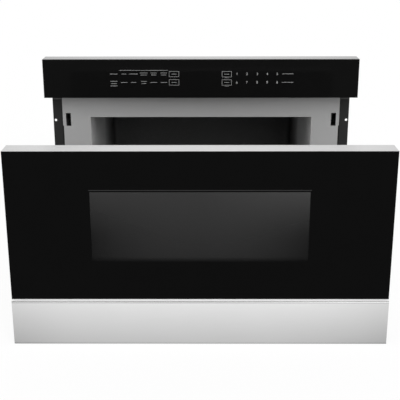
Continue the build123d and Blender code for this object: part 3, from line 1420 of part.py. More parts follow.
# Glides: two low pads under the rear of the tub that run on the cavity floor.
glide_inset, glide_width, glide_length = 36.0, 18.0, 34.0
glide_x = tub_half - glide_inset
glide_setback = 40.0
glide_y = tub_back - glide_setback
with BuildPart() as tub_glides:
    with BuildSketch(Plane.XY.offset(cavity_floor + running_gap)):
        with Locations((-glide_x, glide_y), (glide_x, glide_y)):
            Rectangle(glide_width, glide_length)
    extrude(amount=tub_lift - running_gap)
tub_glides.part.label = "tub_glides"
export_step(tub_glides.part, "parts/tub_glides.step")
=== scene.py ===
import json
import math

import bpy
import numpy as np
from mathutils import Matrix, Vector


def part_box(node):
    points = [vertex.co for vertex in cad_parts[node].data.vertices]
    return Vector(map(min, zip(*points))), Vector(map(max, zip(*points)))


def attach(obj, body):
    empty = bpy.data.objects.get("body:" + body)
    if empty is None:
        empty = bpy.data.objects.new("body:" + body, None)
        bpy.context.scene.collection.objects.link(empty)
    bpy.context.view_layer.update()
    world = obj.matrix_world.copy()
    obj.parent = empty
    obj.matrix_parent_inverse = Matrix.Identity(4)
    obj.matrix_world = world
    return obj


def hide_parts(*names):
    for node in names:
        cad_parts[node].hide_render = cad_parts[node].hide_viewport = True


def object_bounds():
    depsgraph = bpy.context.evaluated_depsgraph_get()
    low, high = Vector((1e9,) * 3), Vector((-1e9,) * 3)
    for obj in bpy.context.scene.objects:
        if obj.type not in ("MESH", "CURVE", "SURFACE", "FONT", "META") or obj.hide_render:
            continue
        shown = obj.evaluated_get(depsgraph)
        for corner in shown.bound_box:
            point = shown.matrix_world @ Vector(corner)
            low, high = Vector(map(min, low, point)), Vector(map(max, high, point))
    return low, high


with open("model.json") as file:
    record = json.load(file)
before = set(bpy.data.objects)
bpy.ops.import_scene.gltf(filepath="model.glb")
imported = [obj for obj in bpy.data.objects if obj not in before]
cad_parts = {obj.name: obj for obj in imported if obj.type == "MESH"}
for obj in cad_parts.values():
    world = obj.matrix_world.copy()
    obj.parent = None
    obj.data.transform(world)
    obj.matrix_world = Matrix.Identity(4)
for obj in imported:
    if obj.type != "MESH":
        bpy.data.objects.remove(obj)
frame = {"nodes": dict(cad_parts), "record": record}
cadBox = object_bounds()
nodes = frame["nodes"]

# Lengths are in metres, written as millimetres times mm. Tones are greys from 0 to 255.
mm = 0.001


def grey(tone):
    # the linear value of a grey that shows as tone on a scale of 0 to 255
    share = tone / 255
    return ((share + 0.055) / 1.055) ** 2.4 if share > 0.04 else share / 12.92


def neutral(tone, warmth=0.0):
    # a grey as a colour, with red lifted and blue lowered by warmth
    level = grey(tone)
    return (level * (1 + warmth), level, level * (1 - warmth))


black, white = neutral(0), neutral(255)


class Amount:
    # a shader socket that takes Python's operators; each adds one Math node
    def __init__(self, finish, socket):
        self.finish = finish
        self.socket = socket

    def __add__(self, other):
        return self.finish.maths("ADD", self, other)

    def __sub__(self, other):
        return self.finish.maths("SUBTRACT", self, other)

    def __rsub__(self, other):
        return self.finish.maths("SUBTRACT", other, self)

    def __mul__(self, other):
        return self.finish.maths("MULTIPLY", self, other)

    def __truediv__(self, other):
        return self.finish.maths("DIVIDE", self, other)

    def __rtruediv__(self, other):
        return self.finish.maths("DIVIDE", other, self)

    def __pow__(self, other):
        return self.finish.maths("POWER", self, other)

    def __abs__(self):
        return self.finish.maths("ABSOLUTE", self)

    def __lt__(self, other):
        return self.finish.maths("LESS_THAN", self, other)

    def __gt__(self, other):
        return self.finish.maths("GREATER_THAN", self, other)

    __radd__ = __add__
    __rmul__ = __mul__


class Finish:
    # one material, or the world, with its nodes
    def __init__(self, owner):
        owner.use_nodes = True
        self.owner = owner
        self.tree = owner.node_tree
        self.shader = self.tree.nodes.get("Principled BSDF")

    def node(self, kind, settings=None, inputs=None):
        # any node, by its type, its settings, and the values or links of its sockets
        made = self.tree.nodes.new("ShaderNode" + kind)
        for key, value in (settings or {}).items():
            setattr(made, key, value)
        for key, value in (inputs or {}).items():
            self.feed(made.inputs[key], value)
        return made

    def feed(self, socket, value):
        # a link where value comes from a node, and otherwise the socket's own value
        if isinstance(value, Amount):
            value = value.socket
        if isinstance(value, bpy.types.NodeSocket):
            self.tree.links.new(value, socket)
        elif isinstance(value, tuple) and len(value) == 3 and socket.type == "RGBA":
            socket.default_value = (*value, 1)
        else:
            socket.default_value = value

    def maths(self, operation, *values):
        made = self.node("Math", {"operation": operation}, dict(enumerate(values)))
        return Amount(self, made.outputs[0])

    def clamp(self, value):
        return Amount(self, self.node("Clamp", inputs={0: value}).outputs[0])

    def between(self, value, start, end):
        # how far value has come from start to end, from 0 to 1
        return self.clamp((value - start) / (end - start))

    def mix(self, factor, first, second):
        made = self.node("Mix", {"data_type": "RGBA"}, {0: factor, 6: first, 7: second})
        return made.outputs[2]

    def place(self):
        # Object coordinates, which are the row frame in metres
        return self.node("TexCoord").outputs["Object"]

    def axes(self):
        split = self.node("SeparateXYZ", inputs={0: self.place()})
        return [Amount(self, split.outputs[axis]) for axis in "XYZ"]

    def noise(self, size, detail=2.0, stretch=(1, 1, 1), roughness=0.5):
        # noise whose blobs are about size metres across, drawn out along the axes by stretch
        scale = tuple(1 / (size * pull) for pull in stretch)
        place = self.node("Mapping", inputs={"Vector": self.place(), "Scale": scale})
        made = self.node("TexNoise", inputs={
            "Vector": place.outputs[0], "Scale": 1.0, "Detail": detail, "Roughness": roughness})
        return Amount(self, made.outputs[0])

    def bump(self, height, strength, distance):
        made = self.node("Bump", inputs={
            "Height": height, "Strength": strength, "Distance": distance})
        self.feed(self.shader.inputs["Normal"], made.outputs[0])

    def set(self, **values):
        # sockets of the main shader by name, with a low line for each space
        for key, value in values.items():
            self.feed(self.shader.inputs[key.replace("_", " ")], value)


def newFinish(name):
    return Finish(bpy.data.materials.new(name))


glassLook = {
    "tone": {"panel": 13, "door": 9}, "haze": 2, "hazeSize": 60 * mm, "roughness": 0.06,
    "hazeRough": 0.03, "refraction": 1.5, "specular": 0.015,
    "waveSize": 140 * mm, "waveBump": 0.05, "waveDepth": 1 * mm,
    "windowHalf": (171 * mm, 58.2 * mm), "windowRise": 0.2 * mm, "edgeSoft": 0.6 * mm,
    "seeThrough": 0.06, "litScreenLow": 0.0148, "litScreenHigh": 0.0288, "rightPaintedLight": 0.0145,
    "sidePaintedShade": 0.7, "sideFoot": 1.6, "sidePower": 2.5, "footFade": 9 * mm,
    "lineRise": 60.8 * mm, "lineHalf": (172.5 * mm, 0.45 * mm), "lineLevel": 0.034,
}


def blackGlass(name, place, window):
    # Black-backed glass. In the window, in front of the middle of the screen, grey is painted on
    # the glass as painted light from the lit screen behind it: lighter at its top and towards its
    # right, with painted shade down its sides, and fading out at its foot. The glass also lets a
    # little of the screen through. A thin grey line runs above it.
    f = newFinish(name)
    look = glassLook
    tone = look["tone"][place]
    haze = f.noise(look["hazeSize"], detail=3)
    colour = f.mix(haze, neutral(tone), neutral(tone + look["haze"]))
    f.set(Roughness=haze * look["hazeRough"] + look["roughness"], IOR=look["refraction"],
          Specular_IOR_Level=look["specular"])
    f.bump(f.noise(look["waveSize"], detail=1), look["waveBump"], look["waveDepth"])
    if window:
        x, y, z = f.axes()
        low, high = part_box("window_screen")
        middle = (low[2] + high[2]) / 2 + look["windowRise"]
        halfWidth, halfHeight = look["windowHalf"]
        rise = z - (middle - halfHeight)
        margin = f.maths("MINIMUM", halfWidth - abs(x), 2 * halfHeight - rise)
        inside = f.clamp(margin / look["edgeSoft"]) * f.clamp(rise / look["footFade"])
        # painted light of the screen behind the window, rising towards the top and the right, with
        # painted shade down its sides
        climb = f.clamp(rise / (2 * halfHeight))
        sideways = (abs(x) / halfWidth) ** look["sidePower"]
        shade = 1 - f.clamp((1 - climb) * look["sideFoot"]) * sideways * look["sidePaintedShade"]
        level = (climb * (look["litScreenHigh"] - look["litScreenLow"]) + look["litScreenLow"]) * shade
        glow = f.clamp(x / halfWidth) * climb ** 2 * look["rightPaintedLight"]
        above = abs(z - (middle + look["lineRise"]))
        line = (abs(x) < look["lineHalf"][0]) * (above < look["lineHalf"][1])
        pale = inside * (level + glow) + line * look["lineLevel"]
        colour = f.mix(pale, colour, white)
        f.set(Alpha=1 - inside * look["seeThrough"])
    f.set(Base_Color=colour)
    return f.owner


brushLook = {"lineDetail": 4, "lineGrain": 0.7, "lineShare": 0.7, "lineRough": 0.14,
             "cloudSize": 90 * mm, "cloudRough": 0.05, "darker": 9, "paler": 7,
             "bump": 0.12, "depth": 0.05 * mm}


def brush(f, tone, roughness, reach, width):
    # lines along x, reach long and width apart, over slow clouds; gives the metal's colour
    look = brushLook
    share = look["lineShare"]
    lines = f.noise(width, look["lineDetail"], (reach / width, 1, 1), look["lineGrain"])
    clouds = f.noise(look["cloudSize"], detail=2)
    f.set(Metallic=1.0,
          Roughness=lines * look["lineRough"] + clouds * look["cloudRough"] + roughness)
    f.bump(lines, look["bump"], look["depth"])
    return f.mix(lines * share + clouds * (1 - share), neutral(tone - look["darker"]),
                 neutral(tone + look["paler"]))


stripLook = {"tone": 229, "roughness": 0.26, "reach": 90 * mm, "width": 0.3 * mm,
             "footShade": 0.34, "sideShade": 0.14, "bevel": 2.2 * mm,
             "grooveDrop": 4.3 * mm, "grooveHalf": 1.4 * mm, "grooveShade": 0.72,
             "grooveShadeFade": 0.2, "edge": 1.1 * mm, "edgeShade": 0.4}


def brushedStrip(name):
    # Brushed stainless, with painted shade towards its foot and ends and in the groove at
    # grooveDrop below the top, a darker edge at its foot, and a painted highlight on the bevel at
    # the top.
    f = newFinish(name)
    look = stripLook
    metal = brush(f, look["tone"], look["roughness"], look["reach"], look["width"])
    x, y, z = f.axes()
    low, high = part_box("door_trim_strip")
    climb = f.between(z, low[2], high[2])
    ends = abs(x) / high[0]
    # painted shade, darker towards the foot and the ends
    paintedShade = (1 - climb) * look["footShade"] + ends ** 4 * look["sideShade"]
    # painted shade in the groove, lighter towards the ends
    groove = abs(z - (high[2] - look["grooveDrop"])) < look["grooveHalf"]
    paintedGrooveShade = groove * (look["grooveShade"] - ends ** 2 * look["grooveShadeFade"])
    edge = (z < low[2] + look["edge"]) * look["edgeShade"]
    # painted highlight: the bevel at the top is white
    paintedBevelHighlight = f.mix(z > high[2] - look["bevel"], metal, white)
    f.set(Base_Color=f.mix(paintedShade + paintedGrooveShade + edge, paintedBevelHighlight, black))
    return f.owner


capLook = {"tone": {"panel": 194, "door": 228}, "roughness": {"panel": 0.34, "door": 0.3},
           "endShade": {"panel": 0.18, "door": 0.2}, "reach": 60 * mm, "width": 0.35 * mm,
           "glassDepth": {"panel": 6.2 * mm, "door": 1.3 * mm}}


def brushedCap(name, place):
    # The metal on top of the panel or the door: brushed, with painted shade at its ends. Its front
    # glassDepth shows the glass's black top edge.
    f = newFinish(name)
    look = capLook
    metal = brush(f, look["tone"][place], look["roughness"][place], look["reach"], look["width"])
    x, y, z = f.axes()
    low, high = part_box(place + "_glass")
    # painted shade towards the ends
    ends = (abs(x) / high[0]) ** 2 * look["endShade"][place]
    glass = y < low[1] + look["glassDepth"][place]
    f.set(Base_Color=f.mix(glass, f.mix(ends, metal, black), neutral(glassLook["tone"]["door"])))
    return f.owner


sprayLook = {"cloudSize": 120 * mm, "cloudRough": 0.1, "peelSize": 1.6 * mm, "peelRough": 0.06,
             "peelDepth": 0.2 * mm, "specular": 0.35}


def spray(f, tone, roughness, mottle, peel, specular):
    # sprayed paint: orange peel a millimetre or two across, and slow changes of tone by mottle
    look = sprayLook
    clouds = f.noise(look["cloudSize"], detail=3)
    skin = f.noise(look["peelSize"], detail=2)
    f.set(Roughness=clouds * look["cloudRough"] + skin * look["peelRough"] + roughness,
          Specular_IOR_Level=specular)
    f.bump(skin, peel, look["peelDepth"])
    return f.mix(clouds, neutral(tone - mottle), neutral(tone + mottle))


def paintedSteel(name, tone, roughness, mottle=4, peel=0.10):
    # an even coat of sprayed paint
    f = newFinish(name)
    f.set(Base_Color=spray(f, tone, roughness, mottle, peel, sprayLook["specular"]))
    return f.owner


flangeLook = {"tone": 30, "roughness": 0.5, "mottle": 3, "peel": 0.2, "specular": 0.15,
              "greyLineTone": 78, "greyLineDrop": 1.8 * mm, "greyLineHalf": 1.2 * mm,
              "gap": 1.9 * mm, "gapShade": 0.75}


def flangePaint(name):
    # black paint, grey in a line near the top, and painted shadow in the gap beside the plate
    f = newFinish(name)
    look = flangeLook
    x, y, z = f.axes()
    paint = spray(f, look["tone"], look["roughness"], look["mottle"], look["peel"],
                  look["specular"])
    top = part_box("left_mounting_flange")[1][2]
    # a grey line near the top
    greyLine = abs(z - (top - look["greyLineDrop"])) < look["greyLineHalf"]
    withGreyLine = f.mix(greyLine, paint, neutral(look["greyLineTone"]))
    # painted shadow of the proud plate on the flange beside it
    gap = (abs(x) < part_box("front_plate")[1][0] + look["gap"]) * look["gapShade"]
    f.set(Base_Color=f.mix(gap, withGreyLine, black))
    return f.owner


enamelLook = {"lowTone": 236, "highTone": 190, "roof": (72.5 * mm, 15.5 * mm),
              "backTone": 60, "back": (183 * mm, 4 * mm), "backShadePower": 0.6,
              "cloudSize": 70 * mm, "cloudShare": 0.12, "roughness": 0.3, "cloudRough": 0.12,
              "fleckSize": 0.9 * mm, "fleckLimit": 0.64, "fleck": 0.15,
              "peelSize": 1.8 * mm, "peelBump": 0.12, "peelDepth": 0.2 * mm}


def ovenEnamel(name):
    # Satin grey cavity paint with fine flecks, with painted shade darkening it towards the roof and
    # the back, from the first of two distances in front of each to the second.
    f = newFinish(name)
    look = enamelLook
    share = look["cloudShare"]
    clouds = f.noise(look["cloudSize"], detail=3)
    fleck = f.noise(look["fleckSize"], detail=1) > look["fleckLimit"]
    x, y, z = f.axes()
    side, back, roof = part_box("cavity_shell")[1]
    # painted shade, darker towards the back and towards the roof
    deep = f.between(y, *(back - distance for distance in look["back"]))
    climb = f.between(z, *(roof - distance for distance in look["roof"]))
    roofShadeTone = neutral(look["highTone"])
    base = f.mix(climb * (1 - share) + clouds * share, neutral(look["lowTone"]), roofShadeTone)
    backShaded = f.mix(deep ** look["backShadePower"], base, neutral(look["backTone"]))
    f.set(Base_Color=f.mix(fleck * look["fleck"], backShaded, roofShadeTone),
          Roughness=clouds * look["cloudRough"] + look["roughness"])
    f.bump(f.noise(look["peelSize"], detail=2), look["peelBump"], look["peelDepth"])
    return f.owner


zincLook = {"tone": 166, "darker": 16, "paler": 12, "metallic": 0.4, "specular": 0.2,
            "crystal": 11 * mm, "bendSize": 14 * mm, "bend": 4 * mm, "crystalRough": 0.14,
            "streakSize": 2 * mm, "streakPull": 12, "streakShare": 0.25, "streakRough": 0.1,
            "roughness": 0.5, "bump": 0.06, "depth": 0.1 * mm}


def zincSheet(name):
    # hot-dip zinc: crystals a centimetre across, each a little lighter or rougher than the next
    f = newFinish(name)
    look = zincLook
    share, pull = look["streakShare"], look["streakPull"]
    bent = f.node("VectorMath", {"operation": "MULTIPLY_ADD"}, {
        0: f.noise(look["bendSize"], detail=2), 1: (look["bend"],) * 3, 2: f.place()})
    cells = f.node("TexVoronoi", {"feature": "F1"}, {
        "Vector": bent.outputs[0], "Scale": 1 / look["crystal"]})
    level = Amount(f, f.node("SeparateXYZ", inputs={0: cells.outputs["Color"]}).outputs[0])
    streak = f.noise(look["streakSize"], detail=3, stretch=(pull, 1, pull))
    shade = level * (1 - share) + streak * share
    f.set(Base_Color=f.mix(shade, neutral(look["tone"] - look["darker"]),
                           neutral(look["tone"] + look["paler"])),
          Roughness=level * look["crystalRough"] + streak * look["streakRough"]
          + look["roughness"],
          Metallic=look["metallic"], Specular_IOR_Level=look["specular"])
    f.bump((level + streak) / 2, look["bump"], look["depth"])
    return f.owner


platedLook = {"darker": 14, "paler": 8, "metallic": 0.95, "roughness": 0.22,
              "drawnSize": 0.5 * mm, "drawnPull": 40, "drawnRough": 0.2,
              "stainSize": 25 * mm, "stainRough": 0.08, "bump": 0.15, "depth": 0.05 * mm}


def platedSteel(name, tone):
    # bright plating on rolled steel, with fine lines drawn along y and slow stains
    f = newFinish(name)
    look = platedLook
    drawn = f.noise(look["drawnSize"], detail=3, stretch=(1, look["drawnPull"], 1))
    stain = f.noise(look["stainSize"], detail=3)
    f.set(Base_Color=f.mix(stain, neutral(tone - look["darker"]), neutral(tone + look["paler"])),
          Roughness=drawn * look["drawnRough"] + stain * look["stainRough"] + look["roughness"],
          Metallic=look["metallic"])
    f.bump(drawn, look["bump"], look["depth"])
    return f.owner


plasticLook = {"sinkSize": 50 * mm, "sinkTone": 4, "sinkRough": 0.06, "sparkRough": 0.12,
               "bump": 0.18, "depth": 0.08 * mm}


def mouldedPlastic(name, tone, roughness, spark=0.9 * mm, warmth=0.0):
    # spark-eroded texture of a mould, spark across, with gentle sink variation
    f = newFinish(name)
    look = plasticLook
    texture = f.noise(spark, detail=3)
    sink = f.noise(look["sinkSize"], detail=2)
    f.set(Base_Color=f.mix(sink, neutral(tone - look["sinkTone"], warmth),
                           neutral(tone + look["sinkTone"], warmth)),
          Roughness=texture * look["sparkRough"] + sink * look["sinkRough"] + roughness)
    f.bump(texture, look["bump"], look["depth"])
    return f.owner


ceramicLook = {"low": neutral(218, 0.01), "high": neutral(232, 0.005), "cloudSize": 40 * mm,
               "roughness": 0.12, "cloudRough": 0.08,
               "dimple": 4 * mm, "bump": 0.08, "depth": 0.1 * mm}


def glassCeramic(name):
    # milky glass ceramic: faint depth clouds and tiny dimples on its face
    f = newFinish(name)
    look = ceramicLook
    clouds = f.noise(look["cloudSize"], detail=4)
    dimples = f.node("TexVoronoi", {"feature": "SMOOTH_F1"}, {
        "Vector": f.place(), "Scale": 1 / look["dimple"]}).outputs[0]
    f.set(Base_Color=f.mix(clouds, look["low"], look["high"]),
          Roughness=clouds * look["cloudRough"] + look["roughness"])
    f.bump(dimples, look["bump"], look["depth"])
    return f.owner


coreLook = {"dark": neutral(46), "pale": neutral(86, 0.03), "sheet": 0.5 * mm,
            "runSize": 12 * mm, "runRough": 0.25, "roughness": 0.35, "metallic": 0.4,
            "bump": 0.3, "depth": 0.1 * mm}


def varnishedCore(name):
    # stacked laminations, each a sheet thick, under dark varnish with runs
    f = newFinish(name)
    look = coreLook
    x, y, z = f.axes()
    sheets = f.maths("PINGPONG", y, look["sheet"]) / look["sheet"]
    runs = f.noise(look["runSize"], detail=4)
    f.set(Base_Color=f.mix((sheets + runs) / 2, look["dark"], look["pale"]),
          Roughness=runs * look["runRough"] + look["roughness"], Metallic=look["metallic"])
    f.bump(sheets, look["bump"], look["depth"])
    return f.owner


boardLook = {"lacquer": (0.012, 0.075, 0.03), "track": (0.03, 0.17, 0.07), "pitch": 1.6 * mm,
             "trackLimit": 0.62, "wanderSize": 9 * mm, "wander": 6 * mm, "wanderRough": 0.1,
             "roughness": 0.28, "bump": 0.2, "depth": 0.05 * mm}


def solderMask(name):
    # green lacquer over copper tracks, which show as paler bands that wander
    f = newFinish(name)
    look = boardLook
    x, y, z = f.axes()
    wander = f.noise(look["wanderSize"], detail=1)
    across = f.maths("PINGPONG", x + z + wander * look["wander"], look["pitch"]) / look["pitch"]
    track = across > look["trackLimit"]
    f.set(Base_Color=f.mix(track, look["lacquer"], look["track"]),
          Roughness=wander * look["wanderRough"] + look["roughness"])
    f.bump(track, look["bump"], look["depth"])
    return f.owner


# The finish of each of the record's material slots, and of the nodes that have their own. The
# numbers are a tone and a roughness.
finishes = {
    "galvanised": zincSheet("zincSheet"),
    "cavity_enamel": ovenEnamel("ovenEnamel"),
    "plate_grey": paintedSteel("greyPaint", 144, 0.46),
    "flange_black": flangePaint("darkPaint"),
    "black_glass": blackGlass("blackGlass", "panel", window=False),
    "cap_metal": brushedCap("brushedCap", "door"),
    "stainless": brushedStrip("brushedStainless"),
    "black_moulding": mouldedPlastic("blackMoulding", 30, 0.42),
    "grey_moulding": mouldedPlastic("greyMoulding", 168, 0.45),
    "tub_white": mouldedPlastic("tubPlastic", 226, 0.32, spark=1.4 * mm, warmth=0.01),
    "ceramic": glassCeramic("glassCeramic"),
    "stirrer_sheet": platedSteel("millSheet", 205),
    "slide_steel": platedSteel("slidePlating", 190),
    "ball_cage": platedSteel("cagePlating", 160),
    "gear_plastic": mouldedPlastic("acetal", 228, 0.36, spark=0.6 * mm, warmth=0.02),
    "circuit_board": solderMask("solderMask"),
    "core_steel": varnishedCore("varnishedCore"),
    "can_aluminium": platedSteel("drawnCan", 200),
    "lamp_glass": mouldedPlastic("lampParts", 214, 0.25, spark=0.7 * mm, warmth=0.03),
    "screen_black": paintedSteel("screenPaint", 52, 0.4),
}
ownFinish = {"door_glass": blackGlass("windowedGlass", "door", window=True),
             "panel_cap": brushedCap("dullCap", "panel"),
             "left_door_switch": mouldedPlastic("switchPlastic", 26, 0.4)}
for name in ("right_door_switch", "left_switch_plunger", "right_switch_plunger"):
    ownFinish[name] = ownFinish["left_door_switch"]

slotOf = {part["node"]: part["material_slot"] for part in frame["record"]["subparts"]}
for name, node in nodes.items():
    node.data.materials.clear()
    node.data.materials.append(ownFinish.get(name) or finishes[slotOf[name]])
print("finishes on", len(nodes), "nodes")


def addPiece(name, points, faces, finish, body):
    # a mesh of points (n, 3) and lists of corners, in place in the row frame, riding on a body
    mesh = bpy.data.meshes.new(name)
    mesh.from_pydata(points.tolist(), [], faces)
    mesh.validate()
    mesh.shade_flat()
    mesh.materials.append(finish)
    made = bpy.data.objects.new(name, mesh)
    bpy.context.scene.collection.objects.link(made)
    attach(made, body)
    return made


# Printed marks on the control panel. Places are millimetres from the panel's middle and down from
# its top edge, as (x, down).
marks = {
    "lift": 0.06 * mm, "stroke": 0.55, "barStroke": 0.45,
    "topBar": (-156.5, -62.7, 20.5),
    "rows": (27.5, 43.8),
    "wordColumns": (-167.0, -147.2, -129.0, -109.3, -90.3, -71.0),
    "wordWidths": ((14.5, 8.5, 16.0, 15.0, 12.0, 12.5), (13.5, 12.5, 9.5, 11.0, 13.0, 12.5)),
    "wordLines": ((1, 1, 1, 2, 2, 2), (3, 1, 1, 2, 1, 1)),
    "lineGap": {1: 0.0, 2: 3.9, 3: 4.5}, "tallDrop": 2.2, "secondLine": 0.82,
    "boxes": ((-60.8, -41.7, 22.4, 33.0), (-60.8, -41.7, 38.2, 49.4),
              (40.7, 59.2, 22.5, 33.5), (40.7, 59.2, 38.5, 49.5)),
    "boxWord": 9.5, "underWord": 8.0, "underDrop": 1.6, "underStroke": 0.4,
    "digitColumns": (69.5, 88.6, 108.4, 127.5, 146.7),
    "digits": ("12345", "67890"), "digitSize": 6.7,
    "rightWord": (155.7, 177.7),
}


def dash(left, right, middle, stroke):
    # a level stroke as (left, right, top, bottom)
    return (left, right, middle - stroke / 2, middle + stroke / 2)


def word(x, width, middle, stroke):
    # a dash that stands for a word, centred at x
    return dash(x - width / 2, x + width / 2, middle, stroke)


def panelBars():
    # (left, right, top, bottom) of each bar, word and side of a box
    m = marks
    left, right, down = m["topBar"]
    made = [dash(left, right, down, m["barStroke"])]
    for row, widths, lines in zip(m["rows"], m["wordWidths"], m["wordLines"]):
        for x, width, count in zip(m["wordColumns"], widths, lines):
            for line in range(count):
                middle = row + (line - (count - 1) / 2) * m["lineGap"][count]
                middle += m["tallDrop"] * (count == 3)
                reach = width * m["secondLine"] if line % 2 else width
                made.append(word(x, reach, middle, m["stroke"]))
        made.append(dash(*m["rightWord"], row, m["stroke"]))
    stroke = m["barStroke"]
    for left, right, top, bottom in m["boxes"]:
        x = (left + right) / 2
        made += [(left, right, top, top + stroke), (left, right, bottom - stroke, bottom),
                 (left, left + stroke, top + stroke, bottom - stroke),
                 (right - stroke, right, top + stroke, bottom - stroke),
                 word(x, m["boxWord"], (top + bottom) / 2, m["stroke"])]
        if x > 0:  # the right boxes have a word below them too
            made.append(word(x, m["underWord"], bottom + m["underDrop"], m["underStroke"]))
    return made


def digitMesh(text, size):
    # the points (x, up) and triangles of one digit
    curve = bpy.data.curves.new("digit", "FONT")
    curve.body, curve.size = text, size
    curve.align_x, curve.align_y = "CENTER", "CENTER"
    curve.resolution_u = 3
    holder = bpy.data.objects.new("digit", curve)
    bpy.context.scene.collection.objects.link(holder)
    bpy.context.view_layer.update()
    mesh = bpy.data.meshes.new_from_object(holder)
    points = np.empty(len(mesh.vertices) * 3)
    mesh.vertices.foreach_get("co", points)
    corners = np.empty(len(mesh.loops), np.int32)
    mesh.loops.foreach_get("vertex_index", corners)
    bpy.data.objects.remove(holder)
    bpy.data.curves.remove(curve)
    bpy.data.meshes.remove(mesh)
    return points.reshape(-1, 3)[:, :2], corners.reshape(-1, 3)


def printPanel():
    # Every mark is a flat mesh in (x, down): a quad for each bar, and each digit centred on its
    # place. They are joined and set just in front of the glass.
    flats = [(np.array(((left, bottom), (right, bottom), (right, top), (left, top))),
              np.arange(4)[None]) for left, right, top, bottom in panelBars()]
    for row, line in zip(marks["rows"], marks["digits"]):
        for x, text in zip(marks["digitColumns"], line):
            flat, cells = digitMesh(text, marks["digitSize"])
            middle = (flat.max(0) + flat.min(0)) / 2
            flats.append(((flat - middle) * (1, -1) + (x, row), cells))
    faces, start = [], 0
    for flat, cells in flats:
        faces += (cells + start).tolist()
        start += len(flat)
    x, down = np.concatenate([flat for flat, cells in flats]).T
    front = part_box("panel_glass")[0][1] - marks["lift"]
    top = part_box("panel_cap")[1][2]
    return np.stack([x * mm, np.full(len(x), front), top - down * mm], 1), faces


printWhite = mouldedPlastic("printedMark", 168, 0.5, spark=0.3 * mm)
points, faces = printPanel()
addPiece("panelMarks", points, faces, printWhite, "chassis")
print("panel marks", len(faces), "faces")

# The perforated screen behind the drawer's window. Each cell is pitch wide and row high, hole is
# the radius of its hole, and the cells stay margin inside the plain sheet's edges.
screen = {"pitch": 3.2 * mm, "row": 2.8 * mm, "hole": 1.12 * mm, "sheet": 0.5 * mm,
          "margin": 9.5 * mm, "setback": 0.25 * mm}


def perforatedSheet(s, low, high):
    # Rows of cells, every other row shifted by half a pitch. In each, six quads run from its
    # outline (four corners and the middles of its top and bottom) to a six-sided hole, on the
    # front and on the back, and six more are the hole's wall.
    columns = int((high[0] - low[0] - 2 * s["margin"]) / s["pitch"])
    rows = int((high[2] - low[2] - 2 * s["margin"]) / s["row"])
    column, row = np.meshgrid(np.arange(columns), np.arange(rows))
    shift = (row % 2) * 0.5 + 0.25
    x = (low[0] + high[0]) / 2 + (column - columns / 2 + shift).ravel() * s["pitch"]
    z = (low[2] + high[2]) / 2 + (row - (rows - 1) / 2).ravel() * s["row"]
    middles = np.stack([x, z], 1)[:, None]
    w, h = s["pitch"] / 2, s["row"] / 2
    outline = np.array([(w, h), (0, h), (-w, h), (-w, -h), (0, -h), (w, -h)])
    turns = np.radians(np.arange(6) * 60 + 30)
    hole = np.stack([np.cos(turns), np.sin(turns)], 1) * s["hole"]
    ring = np.concatenate([middles + outline, middles + hole], 1)
    points = np.empty((2, *ring.shape[:2], 3))
    points[..., 0], points[..., 2] = ring[..., 0], ring[..., 1]
    points[..., 1] = low[1] + s["setback"] + np.reshape([0, s["sheet"]], (2, 1, 1))

    near, far = np.arange(2 * len(ring)).reshape(2, -1, 1) * 12  # each cell's first corner
    k = np.arange(6)
    n = (k + 1) % 6
    face = [near + n, near + k, near + k + 6, near + n + 6]
    back = [far + k, far + n, far + n + 6, far + k + 6]
    wall = [near + k + 6, near + n + 6, far + n + 6, far + k + 6]
    quads = np.concatenate([np.stack(side, 2).reshape(-1, 4) for side in (face, back, wall)])
    return points.reshape(-1, 3), quads.tolist()


points, faces = perforatedSheet(screen, *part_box("window_screen"))
windowScreen = addPiece("windowScreen", points, faces, finishes["screen_black"], "drawer")
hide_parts("window_screen")
print("perforated screen", len(faces), "faces")

# Screws: a domed head whose side curves through arc of a quarter circle, with a cross recess.
screw = {"radius": 3.6 * mm, "height": 1.9 * mm, "arc": 0.72, "rings": 5, "steps": 24,
         "crossLength": 2.1 * mm, "crossWidth": 0.825 * mm, "crossDepth": 1.0 * mm,
         "crossTaper": 0.8}


def screwHead(s):
    # Rings of points round the axis: up the dome, then the cross in its top, then the narrower
    # floor of the recess. Quads join each ring to the next, and a face closes each end.
    turns = np.linspace(0, 2 * np.pi, s["steps"], endpoint=False)
    climb = np.linspace(0, np.pi / 2 * s["arc"], s["rings"])
    dome = np.outer(s["radius"] * np.cos(climb), np.ones(s["steps"]))
    onArm = np.arange(s["steps"]) % (s["steps"] // 4) == 0
    cross = np.where(onArm, s["crossLength"], s["crossWidth"])
    radius = np.vstack([dome, cross, cross * s["crossTaper"]])
    height = np.append(s["height"] * np.sin(climb) / np.sin(climb[-1]),
                       (s["height"], s["height"] - s["crossDepth"]))
    grid = np.empty((*radius.shape, 3))
    grid[..., 0], grid[..., 1] = radius * np.cos(turns), radius * np.sin(turns)
    grid[..., 2] = height[:, None]
    corner = np.arange(radius.size).reshape(radius.shape)
    ahead = np.roll(corner, -1, 1)
    quads = np.stack([corner[:-1], ahead[:-1], ahead[1:], corner[1:]], 2).reshape(-1, 4)
    ends = np.stack([corner[-1], corner[0][::-1]])
    return grid.reshape(-1, 3), quads, ends


def placeScrews(places, outward):
    # copies of the head at places, its axis turned to point outward
    points, quads, ends = screwHead(screw)
    turn = np.array(Vector((0, 0, 1)).rotation_difference(Vector(outward)).to_matrix())
    copies = points @ turn.T + np.array(places)[:, None]
    starts = np.arange(len(places))[:, None, None] * len(points)
    faces = (starts + quads).reshape(-1, 4).tolist()
    faces += (starts + ends).reshape(-1, screw["steps"]).tolist()
    return copies.reshape(-1, 3), faces


